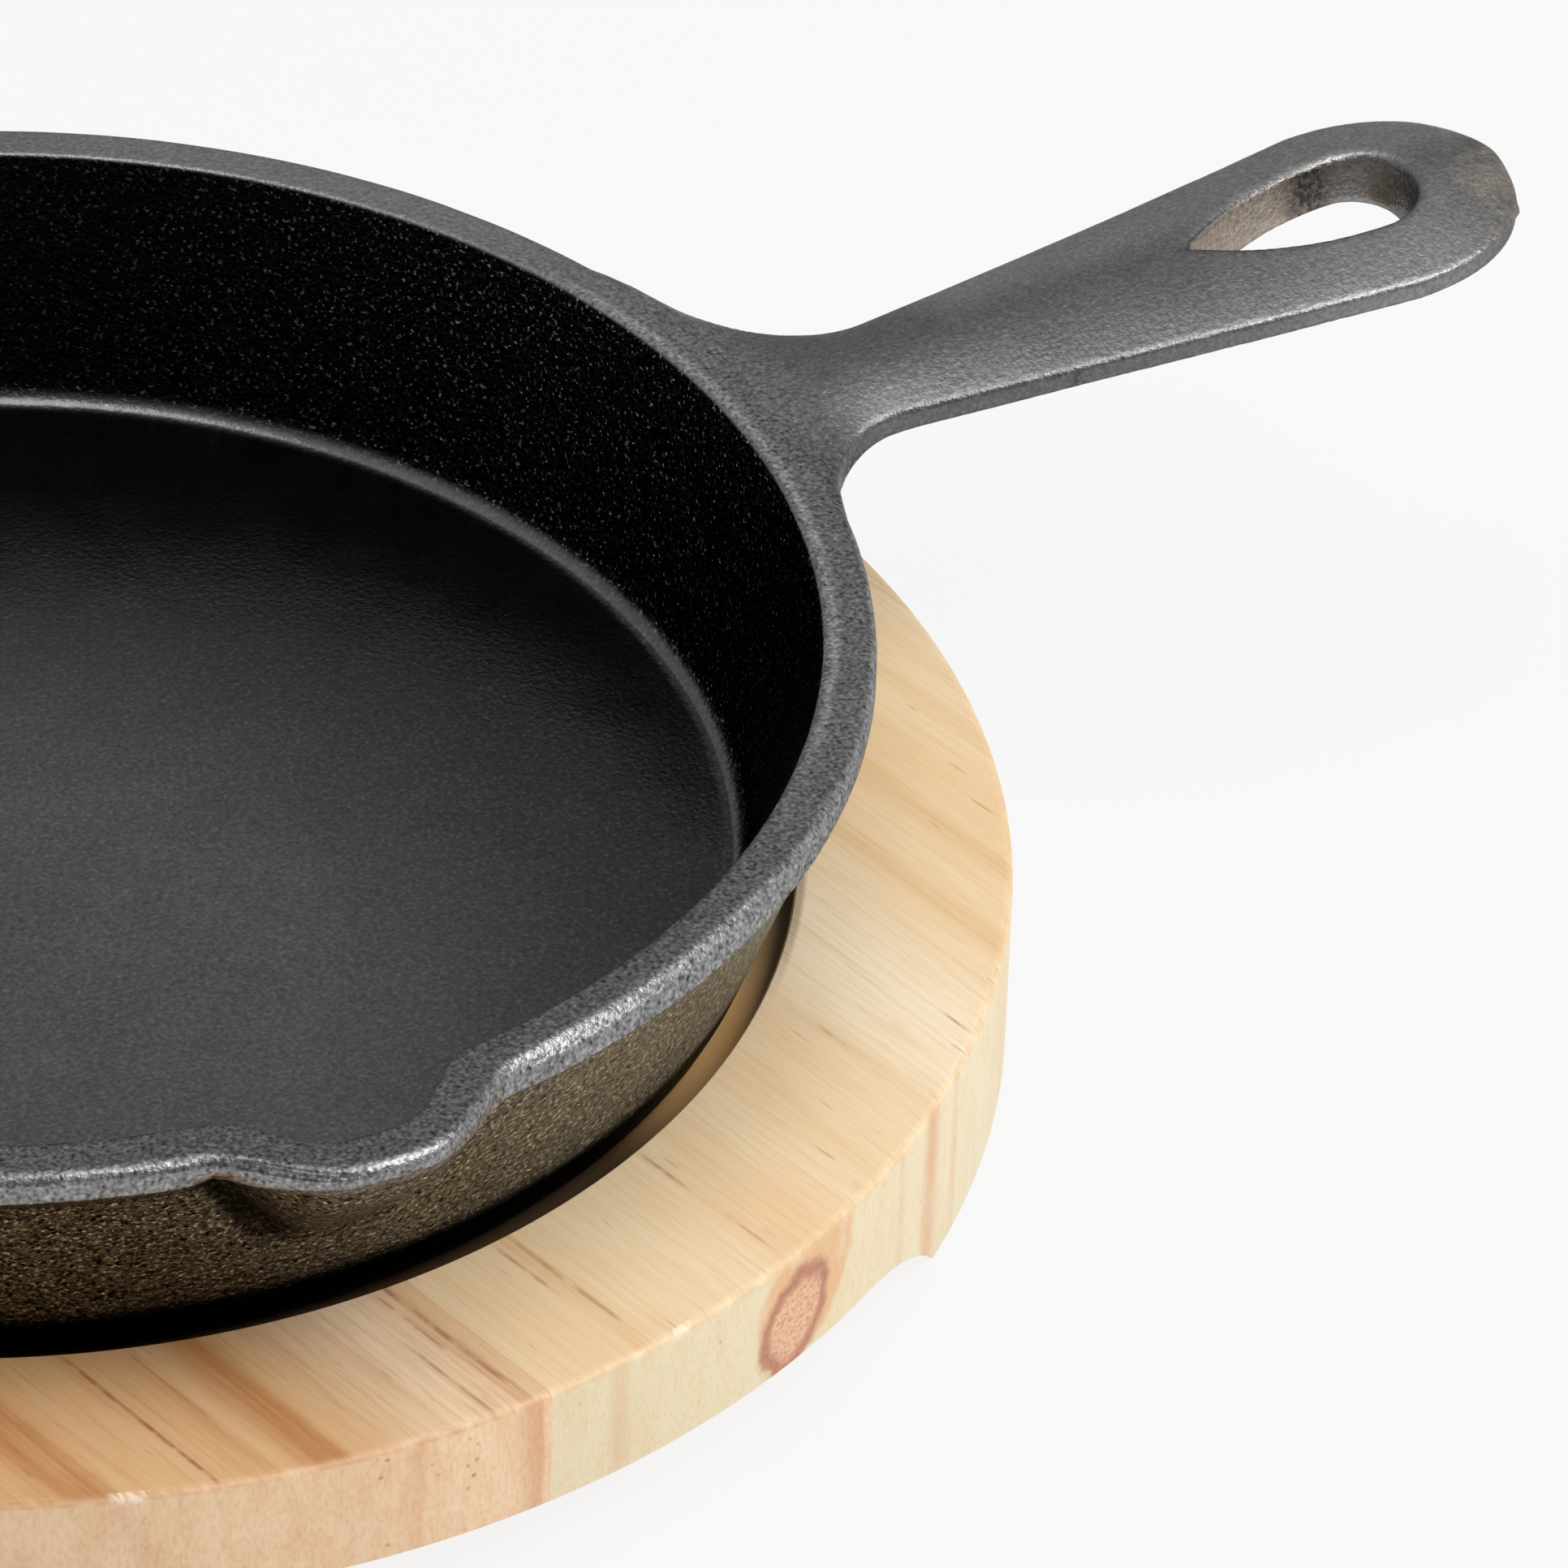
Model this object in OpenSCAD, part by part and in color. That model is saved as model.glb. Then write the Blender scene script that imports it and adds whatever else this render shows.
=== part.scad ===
// Round cast iron sizzle pan resting in the recess of a round edge-glued pine board.
// The origin is the centre of the board's underside. +X runs along the handle and +Z is up.

/* [Pan] */
// Diameter across the rim
pan_d = 200; // [160:1:260]
// Height of the pan from its base to the rim
pan_h = 35; // [28:0.5:50]
// Width of the flat rim, seen from above
rim_w = 6.1; // [4.5:0.1:8]
// Thickness of the floor
floor_t = 5.5; // [3.5:0.1:7]
// Slope of the outer wall from upright, in degrees
wall_draft_out = 20; // [16:0.5:24]
// Slope of the inner wall from upright, in degrees
wall_draft_in = 14.9; // [12:0.1:18]
// Height of the thicker band below the rim
lip_h = 3.5; // [3:0.1:5]
// How far that band stands proud of the wall
lip_proud = 2.2; // [1:0.1:3]
// Rounding of the rim's outer edge
rim_round = 2.5; // [1:0.1:2.8]
// Rounding of the rim's inner edge
rim_inner_round = 0.8; // [0.4:0.1:1.2]
// Rounding where the wall turns into the base
base_round = 6; // [3:0.5:8]
// Fillet where the wall meets the floor inside
floor_round = 4; // [2:0.5:6]

/* [Pouring spouts] */
// How far a spout reaches past the rim
spout_reach = 8; // [4:0.5:12]
// Width of the straight part of the spout's lip
spout_flat_w = 5.6; // [3:0.2:10]
// Width of the whole spout along the rim, outside
spout_w = 40; // [34:1:50]
// Width of the pouring channel along the rim, inside
channel_w = 34; // [26:1:38]
// Depth of the pouring channel inside the wall
spout_channel_h = 20; // [12:1:24]
// Share of its width that a spout loses on its way down the wall
spout_taper = 0.45; // [0:0.05:0.6]
// Height above the base where the outer bulge has faded out
spout_foot_h = 16; // [8:0.5:18]

/* [Handle] */
// Length of the handle past the rim
handle_l = 95; // [70:1:130]
// Width near the tip
handle_w = 33; // [26:0.2:40]
// Width at the neck
neck_w = 15; // [13:0.2:22]
// Rise of the handle towards its tip, in degrees
handle_rise = 5; // [0:0.5:12]
// Sideways offset of the handle where it leaves the rim
handle_skew = 1.7; // [-3:0.1:3]
// Height of the flat band along the handle's edge
edge_band = 2.8; // [1.5:0.1:3.5]
// Crown of the top above the edge
top_crown = 2.3; // [1:0.1:4]
// Belly of the underside below the band
under_belly = 2.1; // [1:0.1:4]
// Length of the flare where the handle joins the rim, on its left side
root_flare_l = 16; // [10:0.5:18]
// Width added by that flare
root_flare_w = 14.5; // [6:0.5:16]
// Length of the smaller flare on the right side
near_flare_l = 12; // [6:0.5:15]
// Width added by the smaller flare
near_flare_w = 8.5; // [3:0.5:12]
// Depth added under the handle where it joins the wall
root_web = 3; // [0:0.5:6]

/* [Hanging eye] */
// Width of the teardrop opening
eye_w = 14.6; // [11:0.2:18]
// Length of the teardrop opening
eye_l = 29.5; // [24:0.5:34]
// Metal left between the opening and the tip
eye_wall = 11.2; // [8:0.1:16]
// Sideways offset of the opening
eye_shift = 1.2; // [-2:0.1:2]

/* [Board] */
// Thickness of the board
board_t = 22.5; // [16:0.5:32]
// Width of the flat land round the recess
board_land = 24.3; // [14:0.5:40]
// Depth of the recess that the pan sits in
recess_depth = 5; // [3:0.5:8]
// Gap all round between the pan and the edge of the recess
seat_gap = 2.9; // [1:0.1:6]
// Rounding of the board's edges
board_round = 1; // [0.5:0.1:2]
// Distance of the glue joint from the middle of the board
joint_offset = 12.4; // [0:0.1:40]
// Direction of the grain and of the glue joint, in degrees from the handle
grain_angle = -76.65; // [-180:0.05:180]

/* [Finger scoops] */
// Height of the scoop under each end of the board
scoop_h = 7.8; // [5:0.2:12]
// Width of the scoop along the board's edge, at the bottom
scoop_w = 106; // [80:1:120]
// How far the scoop reaches in from the edge
scoop_reach = 25; // [15:1:35]
// Radius of the coves at the scoop's ends
scoop_cove = 20; // [10:1:30]

/* [Hidden] */
$fn = 96;
PAST = 2;

// Radii of the pan, with heights counted from its own base
rim_r = pan_d / 2;
neck_z = pan_h - lip_h - lip_proud;
neck_r = rim_r - lip_proud;
base_z = board_t - recess_depth;
rim_z = base_z + pan_h;
recess_r = outer_wall_r(recess_depth) + seat_gap;
board_r = recess_r + board_land;
handle_tip = rim_r + handle_l;

// Steps of the lofted surfaces
SPOUT_STEPS = 26;
CHANNEL_STEPS = 7;
ROOT_STEPS = 8;
HANDLE_STEPS = 12;
TIP_STEPS = 8;
SECTION_STEPS = 8;
SPOUT_SINK = 0.06;
TIP_POWER = 2.2;

function outer_wall_r(z) = neck_r - (neck_z - z) * tan(wall_draft_out);
function inner_wall_r(z) = rim_r - rim_w - (pan_h - z) * tan(wall_draft_in);
function mid_wall_r(z) = 0.3 * outer_wall_r(z) + 0.7 * inner_wall_r(z);

// Points along an arc, both ends included
function arc(centre, r, from, to, steps) = [
    for (i = [0 : steps]) let (a = from + (to - from) * i / steps)
        centre + r * [cos(a), sin(a)]
];

// A smooth step from 0 at a to 1 at b
function ease(x, a, b) = let (t = min(1, max(0, (x - a) / (b - a)))) (1 - cos(180 * t)) / 2;

// The pan's outside from the base up to the flat of the rim
function pan_outside() = concat(
    arc([outer_wall_r(base_round) - base_round / cos(wall_draft_out), base_round],
        base_round, -90, -wall_draft_out, 5),
    [[neck_r, neck_z], [rim_r, pan_h - lip_h]],
    arc([rim_r - rim_round, pan_h - rim_round], rim_round, 0, 90, 6)
);

// The pan's inside from the flat of the rim down to the floor
function rim_inner_edge() = arc(
    [inner_wall_r(pan_h - rim_inner_round) + rim_inner_round / cos(wall_draft_in),
        pan_h - rim_inner_round],
    rim_inner_round, 90, 180 - wall_draft_in, 3);
function floor_fillet() = let (z = floor_t + floor_round) arc(
    [inner_wall_r(z) - floor_round / cos(wall_draft_in), z],
    floor_round, -wall_draft_in, -90, 6);

// Closed skin over rings of n points each. A ring goes out along one side and back along the
// other, so each end is closed by strips between the two.
function end_strips(first, n, way) = [
    for (j = [0 : n / 2 - 2])
        let (strip = [first + j, first + j + 1, first + n - 2 - j, first + n - 1 - j])
            way > 0 ? strip : [strip[3], strip[2], strip[1], strip[0]]
];
function loft_faces(rings, n) = concat(
    end_strips(0, n, 1),
    [for (i = [0 : rings - 2], j = [0 : n - 1]) let (a = i * n + j, b = i * n + (j + 1) % n)
        [a, a + n, b]],
    [for (i = [0 : rings - 2], j = [0 : n - 1]) let (a = i * n + j, b = i * n + (j + 1) % n)
        [b, a + n, b + n]],
    end_strips((rings - 1) * n, n, -1)
);

// Shape of a spout of width w seen from above: 1 over its lip, falling to 0 at its ends
function spout_bell(y, w) = 1 - ease(abs(y), spout_flat_w / 2, w / 2);

// Offset of a spout's surface, which narrows as it fades into the wall. It dips below the wall
// at its ends, so that the two cross cleanly.
function spout_offset(reach, w, y, strength) =
    let (narrow = 1 - spout_taper * (1 - strength))
    reach * (spout_bell(y / narrow, w) * strength * (1 + SPOUT_SINK) - SPOUT_SINK);

// Places across a spout, as arc lengths along the rim
function spout_places(w) = [for (i = [0 : SPOUT_STEPS]) w * (i / SPOUT_STEPS - 0.5)];
function around(r, y) = let (a = y / rim_r * 180 / PI) [r * cos(a), r * sin(a)];

// One ring of a spout's loft at a height: its surface, then the way back along a plain arc
function spout_ring(r, back_r, z, reach, w, strength) = concat(
    [for (y = spout_places(w)) let (p = around(r + spout_offset(reach, w, y, strength), y))
        [p.x, p.y, z]],
    [for (i = [SPOUT_STEPS : -1 : 0]) let (p = around(back_r, spout_places(w)[i])) [p.x, p.y, z]]
);

module spout_outside() {
    foot = [for (i = [0 : CHANNEL_STEPS - 1])
        let (z = spout_foot_h + (neck_z - spout_foot_h) * i / CHANNEL_STEPS)
            [outer_wall_r(z), z]];
    lip = [for (p = pan_outside()) if (p.y >= neck_z - 0.01) p];
    levels = concat(foot, lip);
    rings = [for (p = levels)
        spout_ring(p.x, mid_wall_r(p.y), p.y, spout_reach, spout_w,
            ease(p.y, spout_foot_h, neck_z))];
    polyhedron([for (ring = rings) each ring],
        loft_faces(len(rings), 2 * (SPOUT_STEPS + 1)), convexity = 4);
}

module spout_channel() {
    low_z = pan_h - spout_channel_h;
    slope = [for (i = [0 : CHANNEL_STEPS - 1])
        let (z = low_z + (pan_h - rim_inner_round - low_z) * i / CHANNEL_STEPS)
            [inner_wall_r(z), z]];
    edge = [for (i = [3 : -1 : 0]) rim_inner_edge()[i]];
    levels = concat(slope, edge, [[edge[3].x, pan_h + PAST]]);
    rings = [for (p = levels)
        spout_ring(p.x, inner_wall_r(low_z) - 2 * PAST, p.y, spout_reach - 0.5, channel_w,
            ease(p.y, low_z, pan_h))];
    polyhedron([for (ring = rings) each ring],
        loft_faces(len(rings), 2 * (SPOUT_STEPS + 1)), convexity = 4);
}

module pan_bowl() {
    rotate_extrude()
        polygon(concat([[0, 0]], pan_outside(), rim_inner_edge(), floor_fillet(), [[0, floor_t]]));
}

// Stations along the handle: even to the widest place, then closing up round the tip
tip_l = handle_w * 0.58;
root_x = rim_r - rim_w * 0.7;
wide_x = handle_tip - tip_l;
function handle_stations() = concat(
    [for (i = [0 : ROOT_STEPS - 1]) root_x + (rim_r + root_flare_l - root_x) * i / ROOT_STEPS],
    [for (i = [0 : HANDLE_STEPS - 1])
        let (from = rim_r + root_flare_l) from + (wide_x - from) * i / HANDLE_STEPS],
    [for (i = [0 : TIP_STEPS]) wide_x + tip_l * sin(84 * i / TIP_STEPS)]
);
function tip_factor(x) = x <= wide_x ? 1
    : pow(1 - pow((x - wide_x) / tip_l, TIP_POWER), 1 / TIP_POWER);
function flare(x, l) = let (t = min(1, max(0, 1 - (x - rim_r) / l))) pow(t, 2);
function stem_half_w(x) = let (t = min(1, max(0, (x - rim_r) / (wide_x - rim_r))))
    tip_factor(x) * (neck_w + (handle_w - neck_w) * pow(t, 1.1)) / 2;
function crease_z(x) = (x - rim_r) * tan(handle_rise) - rim_round / 2
    - 1.8 * flare(x, root_flare_l);
function stem_y(x) = let (t = (x - rim_r) / handle_l) handle_skew * (pow(1 - t, 2) + pow(t, 3) / 3);

// Sideways place on a section: 1 is the left edge and -1 the right edge
function across(x, t) = stem_y(x) + stem_half_w(x) * t + (t > 0
    ? root_flare_w * flare(x, root_flare_l) * t
    : near_flare_w * flare(x, near_flare_l) * t);

// One section across the handle: over the crowned top, down the edge, back along the belly
function handle_ring(x) =
    let (
        z = crease_z(x),
        crown = top_crown * pow(tip_factor(x), 0.5),
        belly = under_belly * pow(tip_factor(x), 0.5) + root_web * flare(x, root_flare_l)
    )
    concat(
        [for (i = [0 : SECTION_STEPS]) let (t = 1 - 2 * i / SECTION_STEPS)
            [x, across(x, t), z + crown * (1 - t * t)]],
        [for (i = [0 : SECTION_STEPS]) let (t = 2 * i / SECTION_STEPS - 1)
            [x, across(x, t), z - edge_band - belly * (1 - t * t)]]
    );

module handle_loft() {
    rings = [for (x = handle_stations()) handle_ring(x)];
    polyhedron([for (ring = rings) each ring],
        loft_faces(len(rings), 2 * (SECTION_STEPS + 1)), convexity = 4);
}

// Teardrop opening: a round end, with sides that curve in to a point towards the pan
module eye_outline() {
    r = eye_w / 2;
    point = eye_l - r;
    side_r = (point * point + r * r) / (2 * r);
    translate([handle_tip - eye_wall - r, eye_shift]) {
        circle(r);
        intersection() {
            translate([0, side_r - r]) circle(side_r);
            translate([0, r - side_r]) circle(side_r);
            translate([-point - PAST, -r]) square([point + PAST, 2 * r]);
        }
    }
}

module iron_pan() {
    color("dimgray")
        translate([0, 0, base_z])
            difference() {
                union() {
                    pan_bowl();
                    for (side = [-90, 90]) rotate([0, 0, side]) spout_outside();
                    translate([0, 0, pan_h]) handle_loft();
                }
                for (side = [-90, 90]) rotate([0, 0, side]) spout_channel();
                linear_extrude(2 * pan_h + handle_l) eye_outline();
            }
}

// Board with its recess, before the glue joint and the scoops
module board_disc() {
    outer = [board_r - board_round, board_round];
    rotate_extrude()
        polygon(concat(
            [[0, 0]],
            arc(outer, board_round, -90, 0, 3),
            arc([outer.x, board_t - board_round], board_round, 0, 90, 3),
            [[recess_r, board_t], [recess_r, base_z], [0, base_z]]
        ));
}

// Space under one end of the board, along the direction of the grain
module finger_scoop() {
    flat_w = scoop_w - 2 * scoop_run();
    start = board_r - scoop_reach;
    intersection() {
        translate([start, 0, 0]) rotate([90, 0, 90]) linear_extrude(scoop_reach + PAST)
            scoop_front(flat_w);
        rotate([90, 0, 0]) translate([0, 0, -scoop_w]) linear_extrude(2 * scoop_w)
            scoop_side(start);
    }
}

// Length of the cove at each end, from its start at the roof to the underside
function scoop_run() = sqrt(pow(scoop_cove, 2) - pow(scoop_cove - scoop_h, 2));

module scoop_front(flat_w) {
    translate([-flat_w / 2, -PAST]) square([flat_w, scoop_h + PAST]);
    intersection() {
        union() {
            for (side = [-1, 1])
                translate([side * flat_w / 2, scoop_h - scoop_cove]) circle(scoop_cove);
        }
        translate([-scoop_w / 2 - PAST, -PAST]) square([scoop_w + 2 * PAST, scoop_h + 2 * PAST]);
    }
}

module scoop_side(start) {
    translate([start + scoop_h, -PAST]) square([scoop_reach + PAST, scoop_h + PAST]);
    intersection() {
        translate([start + scoop_h, 0]) circle(scoop_h);
        translate([start, 0]) square([scoop_h, scoop_h]);
    }
    translate([start, -PAST]) square([scoop_h + PAST, PAST]);
}

// One plank: the part of the board on one side of the glue joint
module plank(side) {
    size = 2 * board_r;
    from = side < 0 ? joint_offset : joint_offset - size;
    difference() {
        intersection() {
            board_disc();
            rotate([0, 0, grain_angle]) translate([-size, -from - size, -PAST])
                cube([2 * size, size, board_t + 2 * PAST]);
        }
        for (turn = [0, 180]) rotate([0, 0, grain_angle + turn]) finger_scoop();
    }
}

module board_plank_narrow() {
    color("burlywood") plank(-1);
}

module board_plank_wide() {
    color("wheat") plank(1);
}

iron_pan();
board_plank_narrow();
board_plank_wide();
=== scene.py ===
import math

import bpy
import numpy as np
from mathutils import Matrix, Vector, noise


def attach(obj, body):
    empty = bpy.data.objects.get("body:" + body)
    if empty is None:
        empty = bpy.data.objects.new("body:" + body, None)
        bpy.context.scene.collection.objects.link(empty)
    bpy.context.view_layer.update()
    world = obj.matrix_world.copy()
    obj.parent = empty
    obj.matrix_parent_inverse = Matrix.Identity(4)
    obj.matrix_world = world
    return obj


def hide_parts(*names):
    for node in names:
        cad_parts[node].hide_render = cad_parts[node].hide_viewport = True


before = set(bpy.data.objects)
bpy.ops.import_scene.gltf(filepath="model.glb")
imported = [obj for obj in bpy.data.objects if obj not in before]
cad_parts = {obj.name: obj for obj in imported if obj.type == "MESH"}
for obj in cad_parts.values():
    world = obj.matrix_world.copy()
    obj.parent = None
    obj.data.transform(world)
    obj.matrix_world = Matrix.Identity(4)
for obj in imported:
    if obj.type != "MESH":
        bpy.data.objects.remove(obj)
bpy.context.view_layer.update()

MM = 0.001

# Camera at the photograph's viewing angle, placed in the part's own frame
CAMERA_PLACE = Vector((-403.6, -921.69, 767.0)) * MM
CAMERA_AIM = Vector((0.38873, 0.70739, -0.59033))
CAMERA_ROLL = math.radians(2.119)
CAMERA_LENS, CAMERA_SENSOR = 256.43, 36.0

# The pan's form in millimetres, the same as in the part, with heights from the pan's own base
BASE_Z = 17.5
PAN_H = 35.0
RIM_R = 100.0
RIM_W = 6.1
FLOOR_T = 5.5
DRAFT_OUT = math.tan(math.radians(20))
DRAFT_IN = math.tan(math.radians(14.9))
LIP_H = 3.5
LIP_PROUD = 2.2
NECK_Z = PAN_H - LIP_H - LIP_PROUD
NECK_R = RIM_R - LIP_PROUD
BASE_ROUND, FLOOR_ROUND = 6.0, 3.2
NECK_ROUND, LIP_FOOT_ROUND = 1.0, 0.5
RIM_ROUND, RIM_INNER_ROUND = 1.5, 0.8
TOP_Z = BASE_Z + PAN_H

# The stretch of rim, as angles round the pan, where the lip leans in, and how it comes and goes
LIP_LEAN, LIP_LEAN_LOW, LIP_LEAN_HIGH = 1.1, PAN_H - 2.8, PAN_H - 0.2
LIP_LEAN_START, LIP_LEAN_END = math.radians(-84), math.radians(-42)
LIP_LEAN_RISE, LIP_LEAN_FALL = 0.14, 0.4

# Pouring spouts
SPOUT_REACH = 8.0
SPOUT_FLAT_W = 5.6
SPOUT_W = 40.0
CHANNEL_W = 34.0
CHANNEL_LOW = PAN_H - 20.0
CHANNEL_REACH = SPOUT_REACH - 0.5
SPOUT_TAPER = 0.45
SPOUT_FOOT = 14.0
SPOUT_SINK, SPOUT_SOFT = 0.06, 0.02
SPOUT_LIP_RISE = 1.3
SPOUT_LIP_THIN = 0.9

# Marks on the near spout, as distances along the rim from its middle
FLANK_PLACE, FLANK_LEAN, FLANK_HALF_W, FLANK_DEPTH = -15.0, 0.62, 2.0, 1.9
FLANK_FADE_LOW, FLANK_FADE_HIGH = (SPOUT_FOOT + 3, SPOUT_FOOT + 8), (NECK_Z + 1, PAN_H - 2)
FOLD_START, FOLD_END, FOLD_DEPTH = -16.0, -3.0, 0.4
FOLD_RISE, FOLD_FALL = 4.0, 5.0
FOLD_DROP, FOLD_SLOPE, FOLD_HALF_H = 0.35, 0.045, 0.3

# Handle and hanging eye
HANDLE_L = 95.0
HANDLE_W = 33.0
NECK_W = 15.0
WIDENING = 1.1
RISE = math.tan(math.radians(5))
SKEW = 1.7
EDGE_BAND = 2.8
TOP_CROWN = 2.3
UNDER_BELLY = 2.1
TIP_TRIM = 0.2
TIP_X = RIM_R + HANDLE_L - TIP_TRIM
TIP_L = HANDLE_W * 0.58
WIDE_X = TIP_X - TIP_L
TIP_POWER = 2.2
EYE_W, EYE_L, EYE_WALL, EYE_SHIFT = 14.6, 29.5, 11.2, 1.2
EYE_DRAFT, EYE_DRAFT_H, EYE_OPEN = math.tan(math.radians(15)), 6.0, 0.25
NUBS = ((133.4, -10.4, 34.8), (157.0, 14.3, 37.4), (192.5, -7.9, 40.2))
NUB_R = 0.6

# The handle's root: its flares on both sides, and how it runs into the rim
FLARE_L, FLARE_W = 16.0, 14.5
NEAR_FLARE_L, NEAR_FLARE_W = 12.0, 8.5
ROOT_ROUND = 2.5
ROOT_WEB = 3.0
ROOT_BAND = 1.8
ROOT_DROP = 1.2
ROOT_SAG = 24.0
ROOT_SOFT, ROOT_SOFTER, ROOT_SOFTEST = 0.2, 0.5, 3.0
ROOT_DEPTH, ROOT_HALF_W = 4.0, 36.0

# How wide the handle's forms run into each other
CREST_BLEND, SIDE_BLEND, EYE_BLEND, NUB_BLEND = 0.8, 0.6, 1.1, 0.5
RIM_BLEND, CEILING_BLEND = 5.5, 0.9

# Unevenness of the casting, each wave as its fineness and its height
WAVES = ((0.045, 0.07), (0.15, 0.035))
WAVE_MOST = 0.05
WAVE_FADE = (BASE_Z + 0.5, BASE_Z + 4)

# Board
BOARD_T = 22.5
RECESS_R = NECK_R - (NECK_Z - 5.0) * DRAFT_OUT + 2.9
BOARD_R = RECESS_R + 24.3
BOARD_ROUND, RECESS_BEVEL = 1.0, 0.25
JOINT_OFFSET = 12.4
GRAIN_ANGLE = math.radians(-76.65)
GRAIN_COS, GRAIN_SIN = math.cos(GRAIN_ANGLE), math.sin(GRAIN_ANGLE)
SCOOP_H, SCOOP_W, SCOOP_REACH, SCOOP_COVE = 7.8, 106.0, 25.0, 20.0

# Fineness of the meshes
PAN_STATIONS, BOARD_STATIONS = 448, 360
CENTRE_R = 0.4
BASE_STEP, WALL_STEP, RIM_STEP, FLOOR_STEP, BOARD_STEP = 7.0, 1.3, 0.5, 3.0, 8.0
HANDLE_STEP = 0.56
SHARP_IRON, SHARP_WOOD = 50, 32

# The handle's net: its box, how deep it sinks into the bowl, and where its points may settle
HANDLE_BOX = ((84.0, -37.0, 18.0), (TIP_X + 1.5, 37.0, 47.0))
HANDLE_SINK = 0.03
HANDLE_FLOOR = 18.7
FREE_Z, FREE_Y, FREE_DEPTH = 19.6, 35.0, 3.3
NUDGE, LEAST_SLOPE, MOST_MOVE = 0.01, 0.2, 0.3
TABLE_R, TABLE_Z, TABLE_STEP, TABLE_SHAPE = 84.0, 10.0, 0.1, (240, 300)

# How far the tools that cut the board reach past it
CUT_PAST, SCOOP_BELOW, SCOOP_PAST, SCOOP_INWARD, SCOOP_OUTWARD = 5.0, 2.0, 2.0, 5.0, 4.0


def ease(x, a, b):
    t = np.clip((np.asarray(x, float) - a) / (b - a), 0, 1)
    return (1 - np.cos(np.pi * t)) / 2


def hump(x, start, end, rise, fall):
    """1 between start and end, with a soft rise after start and a soft fall before end."""
    return ease(x, start, start + rise) * (1 - ease(x, end - fall, end))


def smooth_max(a, b, k):
    h = np.maximum(k - np.abs(a - b), 0)
    return np.maximum(a, b) + h * h / (4 * k)


def smooth_min(a, b, k):
    return -smooth_max(-a, -b, k)


def wrapped(angle):
    """The same angle, between minus half a turn and half a turn."""
    return (angle + math.pi) % (2 * math.pi) - math.pi


def outer_wall_r(z):
    return NECK_R - (NECK_Z - z) * DRAFT_OUT


def inner_wall_r(z):
    return RIM_R - RIM_W - (PAN_H - z) * DRAFT_IN


def arc(cx, cz, r, start, end, steps):
    turn = np.radians(np.linspace(start, end, steps + 1))
    return np.stack([cx + r * np.cos(turn), cz + r * np.sin(turn)], 1)


def corner(before, at, after, r, steps=5):
    """A rounding of radius r between two straight lines that meet at a point."""
    a = (before - at) / np.linalg.norm(before - at)
    b = (after - at) / np.linalg.norm(after - at)
    half = math.acos(np.clip(a @ b, -1, 1)) / 2
    reach = r / math.tan(half)
    first, last = at + a * reach, at + b * reach
    t = np.linspace(0, 1, steps + 1)[:, None]
    return (1 - t) ** 2 * first + 2 * t * (1 - t) * at + t ** 2 * last


def line(start, end, step):
    """Points from start to end, no further apart than step."""
    a, b = np.array(start, float), np.array(end, float)
    n = max(1, math.ceil(np.linalg.norm(b - a) / step))
    return np.array([a + (b - a) * i / n for i in range(n + 1)])


def pan_outer_profile():
    """The pan's section from the middle of its base to the top of the rim."""
    draft = math.atan(DRAFT_OUT)
    foot_r = outer_wall_r(BASE_ROUND)
    base = arc(foot_r - BASE_ROUND / math.cos(draft), BASE_ROUND, BASE_ROUND, -90, -20, steps=8)
    foot = np.array([foot_r, BASE_ROUND])
    neck = np.array([NECK_R, NECK_Z])
    lip = np.array([RIM_R, PAN_H - LIP_H])
    top = arc(RIM_R - RIM_ROUND, PAN_H - RIM_ROUND, RIM_ROUND, 0, 90, steps=12)
    neck_round = corner(foot, neck, lip, NECK_ROUND)
    return (line((CENTRE_R, 0), base[0], BASE_STEP), base,
            line(base[-1], neck_round[0], WALL_STEP), neck_round,
            corner(neck, lip, top[0], LIP_FOOT_ROUND, steps=4), top)


def pan_inner_profile():
    """The pan's section from the inner edge of the rim to the middle of its floor."""
    draft = math.degrees(math.atan(DRAFT_IN))
    lean = math.cos(math.radians(draft))
    edge = arc(inner_wall_r(PAN_H - RIM_INNER_ROUND) + RIM_INNER_ROUND / lean,
               PAN_H - RIM_INNER_ROUND, RIM_INNER_ROUND, 90, 180 - draft, steps=5)
    z = FLOOR_T + FLOOR_ROUND
    foot = arc(inner_wall_r(z) - FLOOR_ROUND / lean, z, FLOOR_ROUND, -draft, -90, steps=8)
    return (edge, line(edge[-1], foot[0], WALL_STEP), foot,
            line(foot[-1], (CENTRE_R, FLOOR_T), FLOOR_STEP))


def pan_profile():
    """Points of the pan's section from its base over the rim to its floor, and how far each is
    from the outside (0) to the inside (1)."""
    outer = np.vstack(pan_outer_profile())
    inner = np.vstack(pan_inner_profile())
    flat = line(outer[-1], inner[0], RIM_STEP)[1:-1]
    share = (outer[-1, 0] - flat[:, 0]) / (outer[-1, 0] - inner[0, 0])
    points = np.vstack([outer, flat, inner])
    share = np.concatenate([np.zeros(len(outer)), share, np.ones(len(inner))])
    keep = np.concatenate([[True], np.linalg.norm(np.diff(points, axis=0), axis=1) > 1e-4])
    return points[keep], share[keep]


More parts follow.
